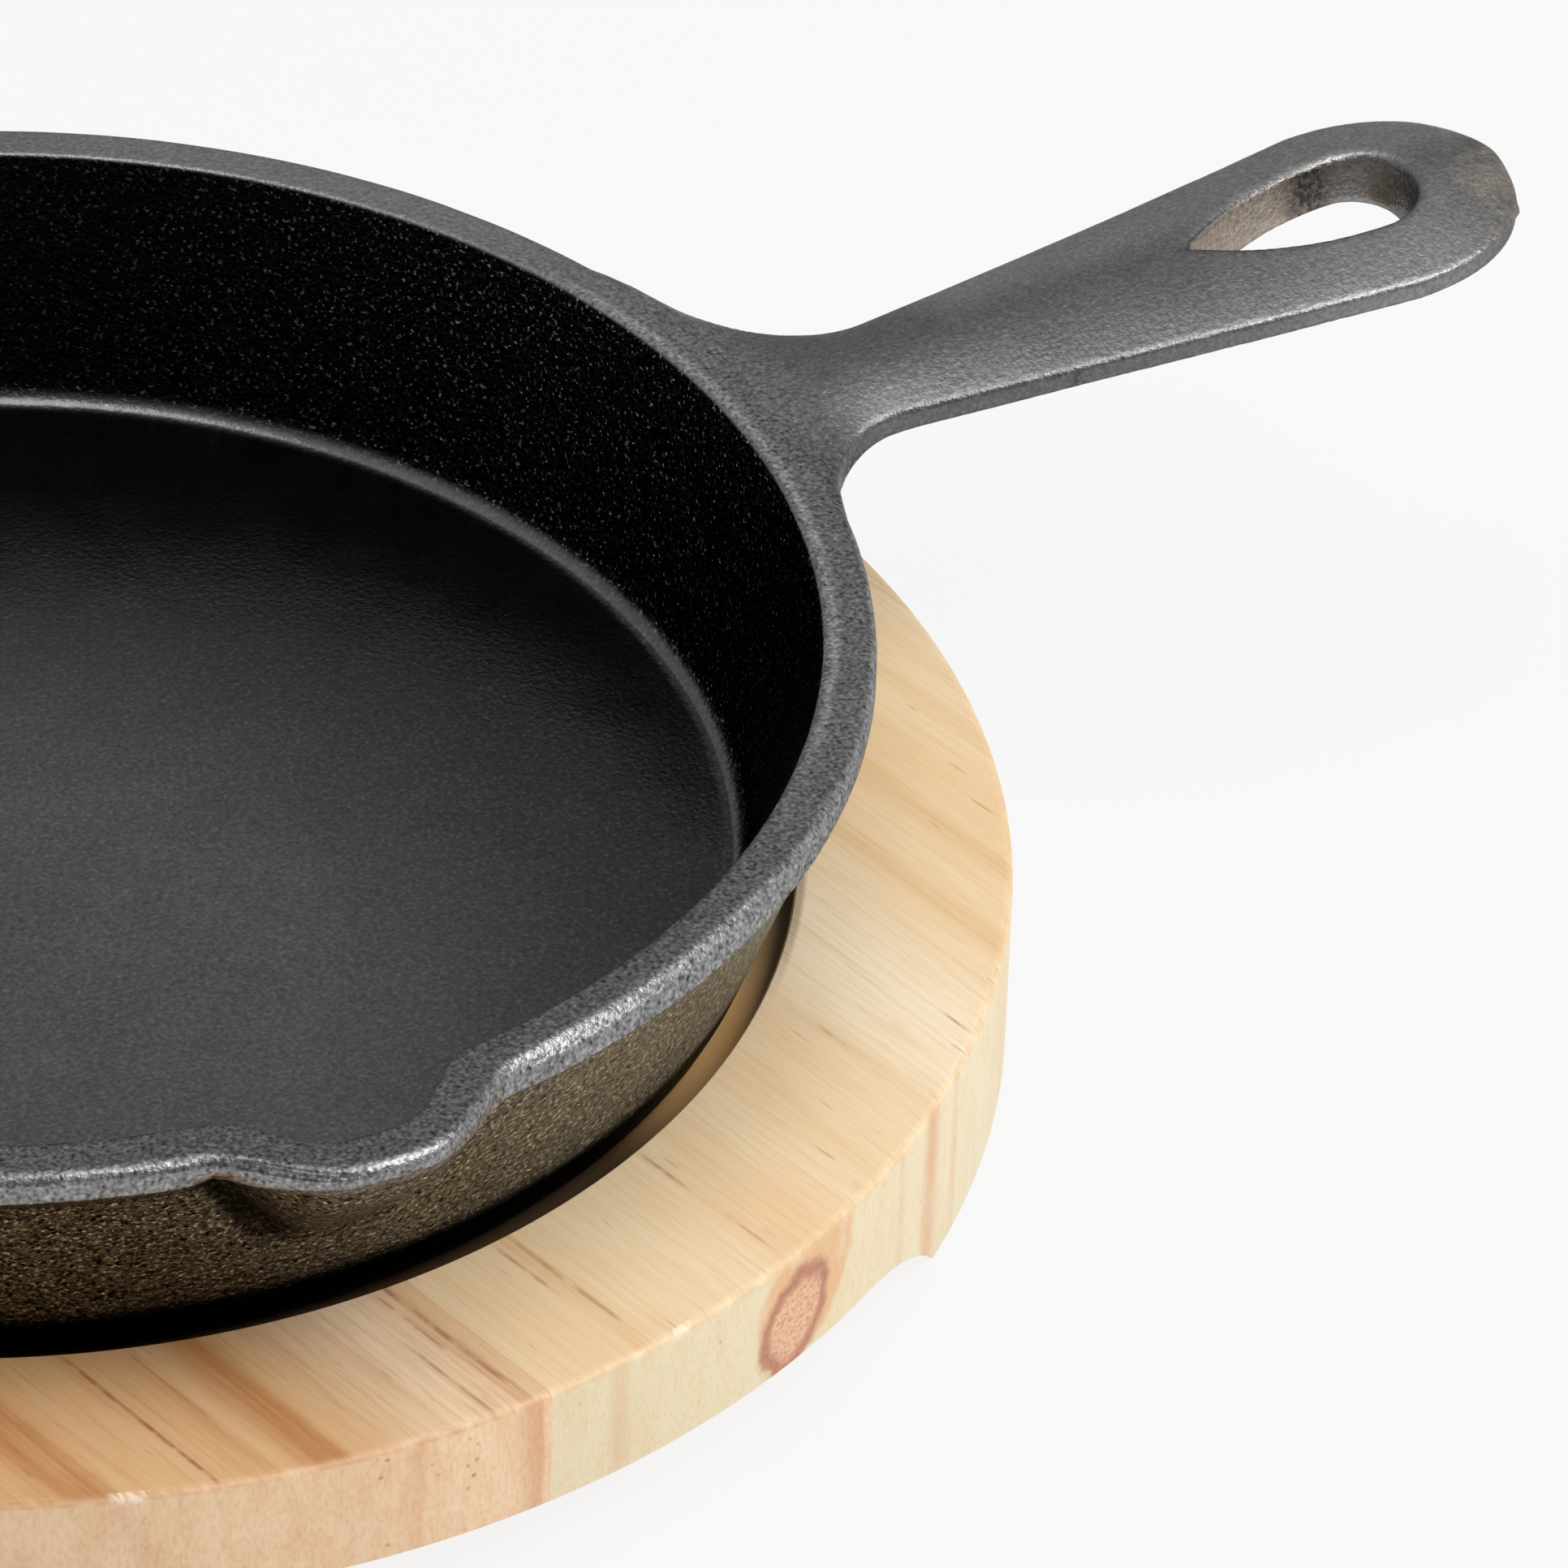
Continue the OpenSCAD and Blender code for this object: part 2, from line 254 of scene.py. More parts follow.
def spout_push(angle, z, width, reach, low, high):
    """How far a spout moves the wall outwards at an angle round the pan."""
    strength = ease(z, low, high)
    narrow = 1 - SPOUT_TAPER * (1 - strength)
    push = np.zeros(np.broadcast(angle, z).shape)
    for middle in (-math.pi / 2, math.pi / 2):
        along = np.abs(wrapped(angle - middle)) * RIM_R
        bell = 1 - ease(along / narrow, SPOUT_FLAT_W / 2, width / 2)
        one = reach * (bell * strength * (1 + SPOUT_SINK) - SPOUT_SINK)
        push = push + (one + np.sqrt(one * one + SPOUT_SOFT)) / 2
    return push


def spout_faults(turn, z, s):
    """Marks that the mould left at the near spout: a hollow left flank and a fold in its lip."""
    along = wrapped(turn + math.pi / 2) * RIM_R
    flank = FLANK_PLACE + (NECK_Z - z) * FLANK_LEAN
    hollow = np.exp(-((along - flank) / FLANK_HALF_W) ** 2)
    hollow = hollow * ease(z, *FLANK_FADE_LOW) * (1 - ease(z, *FLANK_FADE_HIGH))
    fold = hump(along, FOLD_START, FOLD_END, FOLD_RISE, FOLD_FALL)
    fold_z = PAN_H - FOLD_DROP - FOLD_SLOPE * (along - FOLD_START)
    lip = np.exp(-((z - fold_z) / FOLD_HALF_H) ** 2)
    return (hollow * FLANK_DEPTH + fold * lip * FOLD_DEPTH) * (s < 0.05)


def new_object(name, points, faces):
    mesh = bpy.data.meshes.new(name)
    mesh.from_pydata((np.asarray(points) * MM).tolist(), [], faces)
    mesh.update()
    obj = bpy.data.objects.new(name, mesh)
    bpy.context.scene.collection.objects.link(obj)
    return obj


def lathe(name, r, z, stations):
    """A closed body of revolution from arrays of radius and height: one row for each point of
    the section and one column for each station, or a single column that is used all round."""
    rows = r.shape[0]
    turn = np.arange(stations) * 2 * math.pi / stations
    r = np.broadcast_to(r, (rows, stations))
    z = np.broadcast_to(z, (rows, stations))
    points = np.stack([r * np.cos(turn), r * np.sin(turn), z], 2).reshape(-1, 3)
    low, high = len(points), len(points) + 1
    points = np.vstack([points, [[0, 0, z[0, 0]], [0, 0, z[-1, 0]]]])
    last = (rows - 1) * stations
    sides = [(j, (j + 1) % stations) for j in range(stations)]
    faces = [(a + j, a + k, a + stations + k, a + stations + j)
             for a in range(0, last, stations) for j, k in sides]
    for j, k in sides:
        faces += [(low, k, j), (high, last + j, last + k)]
    return new_object(name, points, faces)


def make_bowl():
    points, share = pan_profile()
    turn = (np.arange(PAN_STATIONS) * 2 * math.pi / PAN_STATIONS)[None, :]
    z = points[:, 1:2]
    s = share[:, None]
    outside = spout_push(turn, z, SPOUT_W, SPOUT_REACH, SPOUT_FOOT, NECK_Z)
    inside = spout_push(turn, z, CHANNEL_W, CHANNEL_REACH, CHANNEL_LOW, PAN_H)
    lip = spout_push(turn, PAN_H, SPOUT_W, 1.0, SPOUT_FOOT, NECK_Z) * (1 - s)
    thin = SPOUT_LIP_THIN * lip * ease(z, NECK_Z, PAN_H - LIP_H)
    lean = hump(wrapped(turn), LIP_LEAN_START, LIP_LEAN_END, LIP_LEAN_RISE, LIP_LEAN_FALL)
    lean = LIP_LEAN * lean * ease(z, LIP_LEAN_LOW, LIP_LEAN_HIGH) * (1 - s)
    r = points[:, 0:1] + outside * (1 - s) + inside * s - thin - lean - spout_faults(turn, z, s)
    rise = SPOUT_LIP_RISE * lip * ease(z, SPOUT_FOOT, NECK_Z) * (
        1 - ease(z, PAN_H - LIP_H, PAN_H - 0.6))
    return lathe("pan_bowl", r, z + rise + BASE_Z, PAN_STATIONS)


class ProfileTable:
    """Signed distance to the pan's section, negative in the iron, read from a fine table."""

    def __init__(self):
        points, _ = pan_profile()
        r = TABLE_R + np.arange(TABLE_SHAPE[0]) * TABLE_STEP
        z = TABLE_Z + np.arange(TABLE_SHAPE[1]) * TABLE_STEP
        grid = np.stack(np.meshgrid(r, z, indexing="ij"), 2).reshape(-1, 2)
        best = np.full(len(grid), 1e9)
        inside = np.zeros(len(grid), bool)
        for a, b in zip(points, np.roll(points, -1, 0)):
            edge = b - a
            to = grid - a
            t = np.clip(to @ edge / max(edge @ edge, 1e-12), 0, 1)
            best = np.minimum(best, np.linalg.norm(to - t[:, None] * edge, axis=1))
            crosses = (a[1] > grid[:, 1]) != (b[1] > grid[:, 1])
            if a[1] != b[1]:
                at = a[0] + (grid[:, 1] - a[1]) * edge[0] / edge[1]
                inside ^= crosses & (grid[:, 0] < at)
        self.values = np.where(inside, -best, best).reshape(TABLE_SHAPE)

    def __call__(self, r, z):
        u = np.clip((r - TABLE_R) / TABLE_STEP, 0, TABLE_SHAPE[0] - 1.001)
        v = np.clip((z - TABLE_Z) / TABLE_STEP, 0, TABLE_SHAPE[1] - 1.001)
        i, j = u.astype(int), v.astype(int)
        fu, fv = u - i, v - j
        t = self.values
        near = (t[i, j] * (1 - fu) * (1 - fv) + t[i + 1, j] * fu * (1 - fv)
                + t[i, j + 1] * (1 - fu) * fv + t[i + 1, j + 1] * fu * fv)
        past = np.maximum(r - (TABLE_R + (TABLE_SHAPE[0] - 2) * TABLE_STEP), 0)
        return near + past


def flare(x, length):
    return np.clip(1 - (x - RIM_R) / length, 0, 1.2) ** 2


def handle_stem(x, y, z):
    """Negative inside the handle as it would be without an eye, and the height of its top."""
    along = np.clip((x - RIM_R) / (WIDE_X - RIM_R), 0, 1)
    t = (x - RIM_R) / HANDLE_L
    middle = SKEW * ((1 - t) ** 2 + t ** 3 / 3)
    half = (NECK_W + (HANDLE_W - NECK_W) * along ** WIDENING) / 2
    root = flare(x, FLARE_L)
    low = np.minimum(root, 1)
    wide = half + np.where(y > middle, FLARE_W * root, NEAR_FLARE_W * flare(x, NEAR_FLARE_L))
    across = np.abs(y - middle) / wide
    past = np.clip((x - WIDE_X) / TIP_L, 0, None)
    side = ((across ** TIP_POWER + past ** TIP_POWER) ** (1 / TIP_POWER) - 1) * wide
    tip = np.clip(1 - past ** TIP_POWER, 0.004, 1) ** (1 / TIP_POWER)
    crown = (1 - np.minimum((across / tip) ** 2, 1.25)) * np.sqrt(tip)
    crease = PAN_H + (x - RIM_R) * RISE - ROOT_ROUND / 2 - ROOT_DROP * low
    top = crease + TOP_CROWN * crown
    belly = UNDER_BELLY + (ROOT_WEB - ROOT_BAND) * low
    under = crease - EDGE_BAND - ROOT_BAND * low - belly * crown
    return smooth_max(smooth_max(z - top, under - z, CREST_BLEND), side, SIDE_BLEND), top


def eye_distance(x, y):
    """Distance to the outline of the teardrop opening, negative inside it."""
    r = EYE_W / 2
    point = EYE_L - r
    side_r = (point * point + r * r) / (2 * r)
    x = x - (TIP_X - EYE_WALL - r)
    y = y - EYE_SHIFT
    circle = np.hypot(x, y) - r
    sides = np.hypot(x, np.abs(y) + side_r - r) - side_r
    return np.where(x < 0, sides, circle)


def wall_draw(z):
    """How much nearer to the axis the outer wall is than at its neck."""
    return np.maximum(NECK_Z - z, 0) * DRAFT_OUT


def handle_field(p, bowl):
    """Negative inside the handle and the rounded corner where it meets the rim."""
    x, y, z = p[..., 0], p[..., 1], p[..., 2]
    stem, top = handle_stem(x, y, z)
    eye = eye_distance(x, y) + np.clip(top - z, 0, EYE_DRAFT_H) * EYE_DRAFT - EYE_OPEN
    stem = smooth_max(stem, -eye, EYE_BLEND)
    for nub in NUBS:
        far = np.sqrt((x - nub[0]) ** 2 + (y - nub[1]) ** 2 + (z - nub[2]) ** 2) - NUB_R
        stem = smooth_min(stem, far, NUB_BLEND)
    r = np.hypot(x, y)
    both = smooth_min(stem, bowl(r, z) + HANDLE_SINK, RIM_BLEND)
    run = np.clip(r - RIM_R + ROOT_ROUND, 0, None)
    soft = ROOT_SOFT + np.clip(run * ROOT_SOFTER, 0, ROOT_SOFTEST)
    ceiling = smooth_max(PAN_H - HANDLE_SINK - run ** 2 / ROOT_SAG, top, soft)
    both = smooth_max(both, z - ceiling, CEILING_BLEND)
    cut = RIM_R - ROOT_DEPTH - wall_draw(z)
    return np.maximum(both, np.maximum(cut - r, np.abs(y) - ROOT_HALF_W))


def surface_net(field, low, step):
    """Quads on the zero level of a field on a grid, with one point in each cell that it cuts."""
    inside = field < 0
    shape = np.array(field.shape) - 1
    points, number = net_points(field, inside, shape)
    faces = [net_faces(inside, shape, number, axis) for axis in range(3)]
    return points * step + low, np.vstack(faces)


def net_points(field, inside, shape):
    """The middle of the cuts in each cell, in grid steps, and the number of each cell's point."""
    total = np.zeros((*shape, 3), np.float32)
    count = np.zeros(shape, np.float32)
    for a in np.ndindex(2, 2, 2):
        for axis in range(3):
            if a[axis]:
                continue
            b = list(a)
            b[axis] = 1
            pa = tuple(slice(a[n], a[n] + shape[n]) for n in range(3))
            pb = tuple(slice(b[n], b[n] + shape[n]) for n in range(3))
            cut = inside[pa] != inside[pb]
            fa, fb = field[pa][cut], field[pb][cut]
            place = np.tile(np.array(a, np.float32), (len(fa), 1))
            place[:, axis] += fa / (fa - fb)
            total[cut] += place
            count[cut] += 1
    used = count > 0
    number = np.full(shape, -1, np.int64)
    number[used] = np.arange(used.sum())
    return np.argwhere(used) + total[used] / count[used][:, None], number


def net_faces(inside, shape, number, axis):
    """A quad round each grid line along an axis that goes into or out of the body."""
    u, v = (axis + 1) % 3, (axis + 2) % 3
    size = [slice(1, shape[n]) for n in range(3)]
    size[axis] = slice(0, shape[axis])
    near = inside[tuple(size)]
    size[axis] = slice(1, shape[axis] + 1)
    far = inside[tuple(size)]
    at = np.argwhere(near != far)
    flip = near[tuple(at.T)]
    at[:, u] += 1
    at[:, v] += 1
    quad = []
    for du, dv in ((1, 1), (0, 1), (0, 0), (1, 0)):
        c = at.copy()
        c[:, u] -= du
        c[:, v] -= dv
        quad.append(number[tuple(c.T)])
    quad = np.stack(quad, 1)
    quad[~flip] = quad[~flip][:, ::-1]
    return quad


def settle(points, field, rounds=3):
    """Moves points of a net onto the field's zero level."""
    nudges = np.eye(3) * NUDGE
    for _ in range(rounds):
        value = field(points)
        slope = np.stack([
            (field(points + d) - field(points - d)) / (2 * NUDGE) for d in nudges], -1)
        size = np.maximum((slope ** 2).sum(1), LEAST_SLOPE)
        points = points - np.clip(value / size, -MOST_MOVE, MOST_MOVE)[:, None] * slope
    return points


def make_handle():
    bowl = ProfileTable()
    low, high = np.array(HANDLE_BOX)
    axes = [np.arange(a, b, HANDLE_STEP) for a, b in zip(low, high)]
    grid = np.stack(np.meshgrid(*axes, indexing="ij"), 3)
    floor_cut = (HANDLE_FLOOR - axes[2])[None, None, :]
    field = np.maximum(handle_field(grid, bowl), floor_cut).astype(np.float32)
    points, faces = surface_net(field, low, HANDLE_STEP)
    free = (points[:, 2] > FREE_Z) & (np.abs(points[:, 1]) < FREE_Y)
    free &= np.hypot(points[:, 0], points[:, 1]) > RIM_R - FREE_DEPTH - wall_draw(points[:, 2])
    points[free] = settle(points[free], lambda p: handle_field(p, bowl))
    points[:, 2] += BASE_Z
    return new_object("pan_handle", points, faces.tolist())


def apply_boolean(target, tool, kind):
    """Joins or cuts target with tool, and removes tool."""
    change = target.modifiers.new("join", "BOOLEAN")
    change.operation = kind
    change.object = tool
    change.solver = "MANIFOLD"
    bake(target)
    bpy.data.objects.remove(tool)


def bake(obj):
    """Makes an object's modifiers part of its mesh."""
    depsgraph = bpy.context.evaluated_depsgraph_get()
    mesh = bpy.data.meshes.new_from_object(obj.evaluated_get(depsgraph))
    obj.modifiers.clear()
    obj.data = mesh


def dress(obj, sharp, material):
    """Smooth shading, except over edges sharper than an angle, and the material."""
    obj.data.shade_smooth()
    obj.data.set_sharp_from_angle(angle=math.radians(sharp))
    obj.data.materials.clear()
    obj.data.materials.append(material)


def cast_waves(obj):
    """Makes the surface a little uneven, as sand casting does, except where it rests."""
    vertices = obj.data.vertices
    points = np.empty(len(vertices) * 3)
    vertices.foreach_get("co", points)
    points = points.reshape(-1, 3) / MM
    normals = np.empty(points.size, np.float32)
    obj.data.vertex_normals.foreach_get("vector", normals)
    wave = np.array([
        sum(size * noise.noise(Vector(p * scale)) for scale, size in WAVES) for p in points])
    wave = np.minimum(wave * ease(points[:, 2], *WAVE_FADE), WAVE_MOST)
    points = (points + normals.reshape(-1, 3) * wave[:, None]) * MM
    vertices.foreach_set("co", points.ravel())
    obj.data.update()


def make_pan(material):
    pan = make_bowl()
    apply_boolean(pan, make_handle(), "UNION")
    cast_waves(pan)
    pan.name = "cast_pan"
    dress(pan, SHARP_IRON, material)
    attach(pan, "root")
    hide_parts("iron_pan")
    return pan


def make_camera():
    data = bpy.data.cameras.new("camera")
    data.lens = CAMERA_LENS
    data.sensor_width = CAMERA_SENSOR
    data.clip_start, data.clip_end = 0.05, 20.0
    camera = bpy.data.objects.new("camera", data)
    forward = CAMERA_AIM.normalized()
    level = forward.cross(Vector((0, 0, 1))).normalized()
    above = level.cross(forward)
    right = level * math.cos(CAMERA_ROLL) + above * math.sin(CAMERA_ROLL)
    up = above * math.cos(CAMERA_ROLL) - level * math.sin(CAMERA_ROLL)
    turn = Matrix((right, up, -forward)).transposed().to_4x4()
    camera.matrix_world = Matrix.Translation(CAMERA_PLACE) @ turn
    bpy.context.scene.collection.objects.link(camera)
    bpy.context.scene.camera = camera


class Graph:
    """Short names for the shader nodes that the materials are made of."""

    def __init__(self, tree):
        self.tree = tree

    def put(self, socket, value):
        if isinstance(value, bpy.types.NodeSocket):
            self.tree.links.new(value, socket)
        else:
            socket.default_value = value

    def node(self, kind, inputs=(), **settings):
        made = self.tree.nodes.new(kind)
        for name, value in settings.items():
            setattr(made, name, value)
        for key, value in dict(inputs).items():
            self.put(made.inputs[key], value)
        return made

    def math(self, kind, a, b=0.0):
        return self.node("ShaderNodeMath", {0: a, 1: b}, operation=kind).outputs[0]

    def sum(self, *values):
        total = values[0]
        for value in values[1:]:
            total = self.math("ADD", total, value)
        return total

    def times(self, *values):
        total = values[0]
        for value in values[1:]:
            total = self.math("MULTIPLY", total, value)
        return total

    def rest(self, mask):
        """1 less the mask."""
        return self.math("SUBTRACT", 1.0, mask)

    def swing(self, noise_value):
        """A noise that swings round 0 in place of 0.5."""
        return self.sum(noise_value, -0.5)

    def length(self, a, b):
        return self.math("SQRT", self.sum(self.times(a, a), self.times(b, b)))

    def between(self, share, a, b):
        """a where the share is 0 and b where it is 1."""
        return self.sum(a, self.times(share, self.math("SUBTRACT", b, a)))

    def change(self, level, *changes):
        """The level with a share of itself added for each pair of a mask and a share."""
        for mask, share in changes:
            level = self.times(level, self.sum(1.0, self.times(mask, share)))
        return level

    def step(self, value, low, high, bottom=0.0, top=1.0):
        """A smooth step from bottom at low to top at high. High may be below low."""
        if low > high:
            low, high, bottom, top = high, low, top, bottom
        node = self.node("ShaderNodeMapRange", {"Value": value}, interpolation_type="SMOOTHSTEP")
        limits = {"From Min": low, "From Max": high, "To Min": bottom, "To Max": top}
        for name, number in limits.items():
            node.inputs[name].default_value = number
        return node.outputs[0]

    def band(self, value, middle, width):
        """1 at the middle, falling to 0 at width on both sides."""
        off = self.math("ABSOLUTE", self.sum(value, -middle))
        return self.step(off, width, 0.0)

    def strip(self, value, middle, left, right):
        """1 at the middle, falling to 0 at a distance to its left and one to its right."""
        off = self.sum(value, -middle)
        return self.times(self.step(off, -left, 0.0), self.step(off, right, 0.0))

    def mix(self, share, a, b):
        node = self.node("ShaderNodeMix", data_type="RGBA")
        for index, value in ((0, share), (6, a), (7, b)):
            if isinstance(value, tuple):
                value = (*value, 1.0)
            self.put(node.inputs[index], value)
        return node.outputs[2]

    def paint(self, color, tone, *masks):
        """The colour with a tone over it, as strong as the product of the masks."""
        return self.mix(self.times(*masks), color, tone)

    def combine(self, x, y, z):
        return self.node("ShaderNodeCombineXYZ", {0: x, 1: y, 2: z}).outputs[0]

    def noise(self, vector, scale=1.0, detail=2.0, roughness=0.5):
        return self.node("ShaderNodeTexNoise", {
            "Vector": vector, "Scale": scale, "Detail": detail, "Roughness": roughness}).outputs[0]

    def bump(self, shader, height, strength, distance):
        made = self.node("ShaderNodeBump", {
            "Height": height, "Strength": strength, "Distance": distance})
        self.put(shader.inputs["Normal"], made.outputs[0])

    def place(self):
        """The point in the part's frame, in millimetres, as a vector and as x, y and z."""
        at = self.node("ShaderNodeTexCoord").outputs["Object"]
        scaled = self.node(
            "ShaderNodeVectorMath", {0: at, "Scale": 1 / MM}, operation="SCALE").outputs[0]
        return (scaled, *self.node("ShaderNodeSeparateXYZ", {0: scaled}).outputs)

    def normal(self):
        return self.node("ShaderNodeSeparateXYZ", {
            0: self.node("ShaderNodeNewGeometry").outputs["Normal"]}).outputs


def new_material(name):
    material = bpy.data.materials.new(name)
    material.use_nodes = True
    return material, Graph(material.node_tree), material.node_tree.nodes["Principled BSDF"]


# Studio: brightness of the far wall, of the ceiling, and of the dark room behind the camera, each
# softly from one to the next at a height, or at a place ahead of the camera
SKY_WALL, SKY_CEILING, SKY_CEILING_RUN = 0.56, 0.88, (0.55, 1.0)
SKY_LOW, SKY_LOW_RUN = 0.12, (0.5, 0.1)
SKY_ROOM, SKY_ROOM_RUN = 0.30, (0.0, 0.75)
SKY_RIGHT = 0.12
KEY_TURN, KEY_RISE = math.radians(-52), math.radians(52)
KEY_FAR, KEY_SIZE, KEY_POWER = 1.5, 0.9, 14.5
TOP_RISE = math.radians(89.9)
TOP_FAR, TOP_SIZE, TOP_POWER = 1.6, 0.8, 4.5
FLOOR_HALF_W = 3000
FLOOR_LOOK = {"Base Color": (0.07, 0.07, 0.07, 1), "Roughness": 1.0, "Specular IOR Level": 0.0,
              "Emission Color": (1, 1, 1.003, 1), "Emission Strength": 0.858}

# Parts of the iron. Each soft edge is an axis, where the part fades out along it, and where it is
# whole. r is the distance from the pan's axis and beside the distance from the handle's line. out
# and up are how far the surface faces outwards and upwards, and steep is up without its sign.
# brink is z, raised on the near side
INSIDE = (("out", 0.55, 0.15), ("brink", TOP_Z - 0.02, TOP_Z - 0.35), ("r", 104, 103),
          ("x", 95.5, 94.5), ("z", BASE_Z + 2, BASE_Z + 4))
INNER_WALL = (("up", 0.8, 0.4),)
OUTER_WALL = (("out", 0.25, 0.7), ("r", 109, 107), ("z", BASE_Z + 32, BASE_Z + 31))
# Painted shade on the lower outer wall, down to the board
SHADED_BASE = (("z", BASE_Z + 10, BASE_Z + 7),)
HANDLE = (("x", 96, 108),)
FAR_SIDE = (("y", 0, 60),)
TOP_FACE = (("up", 0.8, 0.95),)
INNER_EDGE = (("y", -75, -50), ("y", 40, 20))
NEAR_HEAD = (("x", 150, 172), ("x", 188, 181), ("y", 4, -6))
FAR_NECK = (("x", 118, 128), ("y", 1, 8))
NEAR_GRIP = (("y", -3, -9), ("x", 150, 130))
ROUND_EYE = (("x", 179, 175), ("x", 150, 154), ("beside", 9.5, 8.5))
EYE_WALL_FACE = (("steep", 0.75, 0.45), *ROUND_EYE)
EYE_FAR_END = (("x", 169, 173), ("y", 0, 4))
TIP = (("x", 183, 192),)
# Painted shade in the hollow left flank of the near spout
SHADED_FLANK = (("y", -88, -94), ("z", BASE_Z + 14.5, BASE_Z + 19))

# Places that the parts above are worked out from
BRINK_RISE = (-45, -75, 0.0, 0.55)
INNER_EDGE_R, INNER_EDGE_HALF_W = 95.1, 1.2
EYE_BRIM_UP, EYE_BRIM_HALF = 0.78, 0.24
COARSE_SIDE, COARSE_RUN = math.radians(-160), (-0.1, 0.75)
# The side of the pan that the light falls from, which the rim's painted light follows
LIGHT_SIDE = math.radians(20)
SHADED_FLANK_PLACE, SHADED_FLANK_LEAN = (-12.5, BASE_Z + 25.0), 0.62
SHADED_FLANK_LEFT, SHADED_FLANK_RIGHT = (-3.0, -1.0), (6.0, 0.5)
# A painted reflection makes the pan's floor paler round PALE_PLACE, fading away from it
PALE_PLACE, PALE_RUN, FLOOR_UP = (-30.0, -30.0), (45, 100, 1.0, 0.4), (0.97, 0.9)

# Iron: how much light each surface throws back, and how matt it is
IRON_WORN = 0.24
# Painted shade: the inner walls throw back far less light than the floor of the same iron
IRON_FLOOR, IRON_WALL, IRON_WALL_UP = 0.125, 0.014, (0.45, 0.8)
IRON_ROUGHNESS, FLOOR_ROUGHNESS, PATCH_ROUGHNESS = 0.38, 0.21, 0.1

# How much of its light a part of the iron gains or loses
# Painted light: the rim is lighter towards LIGHT_SIDE, and its outer band lighter than its flat
# top
TOP_LIGHT, TOP_LIGHT_UP = (0.1, 0.9, 0.76, 1.08), (0.6, 0.9)
EDGE_LIGHT, EDGE_LIGHT_SIDE = 1.08, 0.13
NEAR_RIM_HIGHLIGHT, INNER_EDGE_SHADE = 0.1, 0.75
# TOP_FACE_SHADE is painted shade on the flat rim top, stronger on the near side
TOP_FACE_SHADE = (0, 60, -0.3, -0.12)
HANDLE_SHADE, HANDLE_SHADE_RUN = -0.4, (190, 150, 0.75, 1.0)
NEAR_HEAD_SHADE, FAR_NECK_SHADE, NEAR_GRIP_SHADE, EYE_BRIM_SHADE = -0.5, -0.9, -0.14, -0.5
WALL_SHADES = {"outer_wall": -0.17, "coarse": -0.6, "shaded_base": -0.99, "shaded_flank": -0.85}

# Texture of the iron: fineness of its three noises, and how strongly they show
PATCH_SCALE, GRIT_SCALE, SPECK_SCALE = 0.12, 1.35, 2.1
SPECK_SHADE, GRIT_SHADE, COARSE_GRIT = 1.5, 2.2, 1.5
CALM_INSIDE, CALM_FAR = 0.6, 0.65
# Painted glints: bright specks added to the colour, most on the outer and inner walls
GLINT, GLINT_RUN = 0.4, (0.62, 0.78)
GLINT_ALL, GLINT_WALL, GLINT_SHADED_BASE = 0.05, 0.7, -0.65
GLINT_INNER_WALL = (25, 90, 0.05, 0.8)
BUMP, BUMP_DEPTH = 0.25, 0.0006
BUMPS = {"inside": -0.15, "inner_wall": 0.5, "outer_wall": 0.2, "coarse": 0.55}

# Warm tint of the outer wall as its loss of green and blue, then rust, and the eye's end in
# painted shade
WALL_TINT, COARSE_TINT = (-0.02, -0.12), (-0.13, -0.33)
RUST_WALL, RUST_TIP, RUST_TIP_RUN = 0.85, 0.5, (0.35, 0.6)
RUST_LEVEL, RUST_GRAIN, RUST_GREEN, RUST_BLUE = 0.13, 0.33, 0.84, 0.69
EYE_END_SHADE_COLOR, EYE_END_RUN = (0.04, 0.04, 0.04), (0.35, 0.6, 0.4, 0.9)


class IronPlaces:
    """Where a point of the pan lies, with the masks and noises that its colours share."""

    def __init__(self, g):
        self.g = g
        place, x, y, z = g.place()
        nx, ny, nz = g.normal()
        r = g.length(x, y)
        out = g.math("DIVIDE", g.sum(g.times(nx, x), g.times(ny, y)), g.math("MAXIMUM", r, 1.0))
        self.x, self.y, self.z, self.r, self.out, self.up = x, y, z, r, out, nz
        self.brink = g.sum(z, g.step(y, *BRINK_RISE))
        self.beside, self.steep = g.math("ABSOLUTE", y), g.math("ABSOLUTE", nz)
        self.inside = self.part(INSIDE)
        self.inner_wall = g.times(self.inside, self.part(INNER_WALL))
        self.outer_wall = self.part(OUTER_WALL)
        self.coarse = g.times(g.step(self.toward(COARSE_SIDE), *COARSE_RUN), self.outer_wall)
        # Painted shade on the lower outer wall, down to the board
        self.shaded_base = g.times(self.outer_wall, self.part(SHADED_BASE))
        self.handle = self.part(HANDLE)
        self.shaded_flank = self.make_shaded_flank()
        self.patch = g.noise(place, PATCH_SCALE, 3.0, 0.6)
        self.grit = g.noise(place, GRIT_SCALE, 2.0, 0.7)
        self.speck = g.noise(place, SPECK_SCALE, 0.0)

    def part(self, edges):
        """A mask that is 1 in a part of the pan, from the part's soft edges."""
        return self.g.times(*[
            self.g.step(getattr(self, axis), out, whole) for axis, out, whole in edges])

    def toward(self, angle):
        """1 on the rim at an angle round the pan and -1 across from it."""
        g = self.g
        ahead = g.times(self.x, math.cos(angle) / RIM_R)
        return g.math("MINIMUM", g.sum(ahead, g.times(self.y, math.sin(angle) / RIM_R)), 1.0)

    def make_shaded_flank(self):
        """Painted shade in the hollow left flank of the near spout."""
        g = self.g
        lean = g.times(g.sum(self.z, -SHADED_FLANK_PLACE[1]), SHADED_FLANK_LEAN)
        lean = g.sum(self.x, -SHADED_FLANK_PLACE[0], lean)
        return g.times(g.step(lean, *SHADED_FLANK_LEFT), g.step(lean, *SHADED_FLANK_RIGHT),
                       self.outer_wall, self.part(SHADED_FLANK))


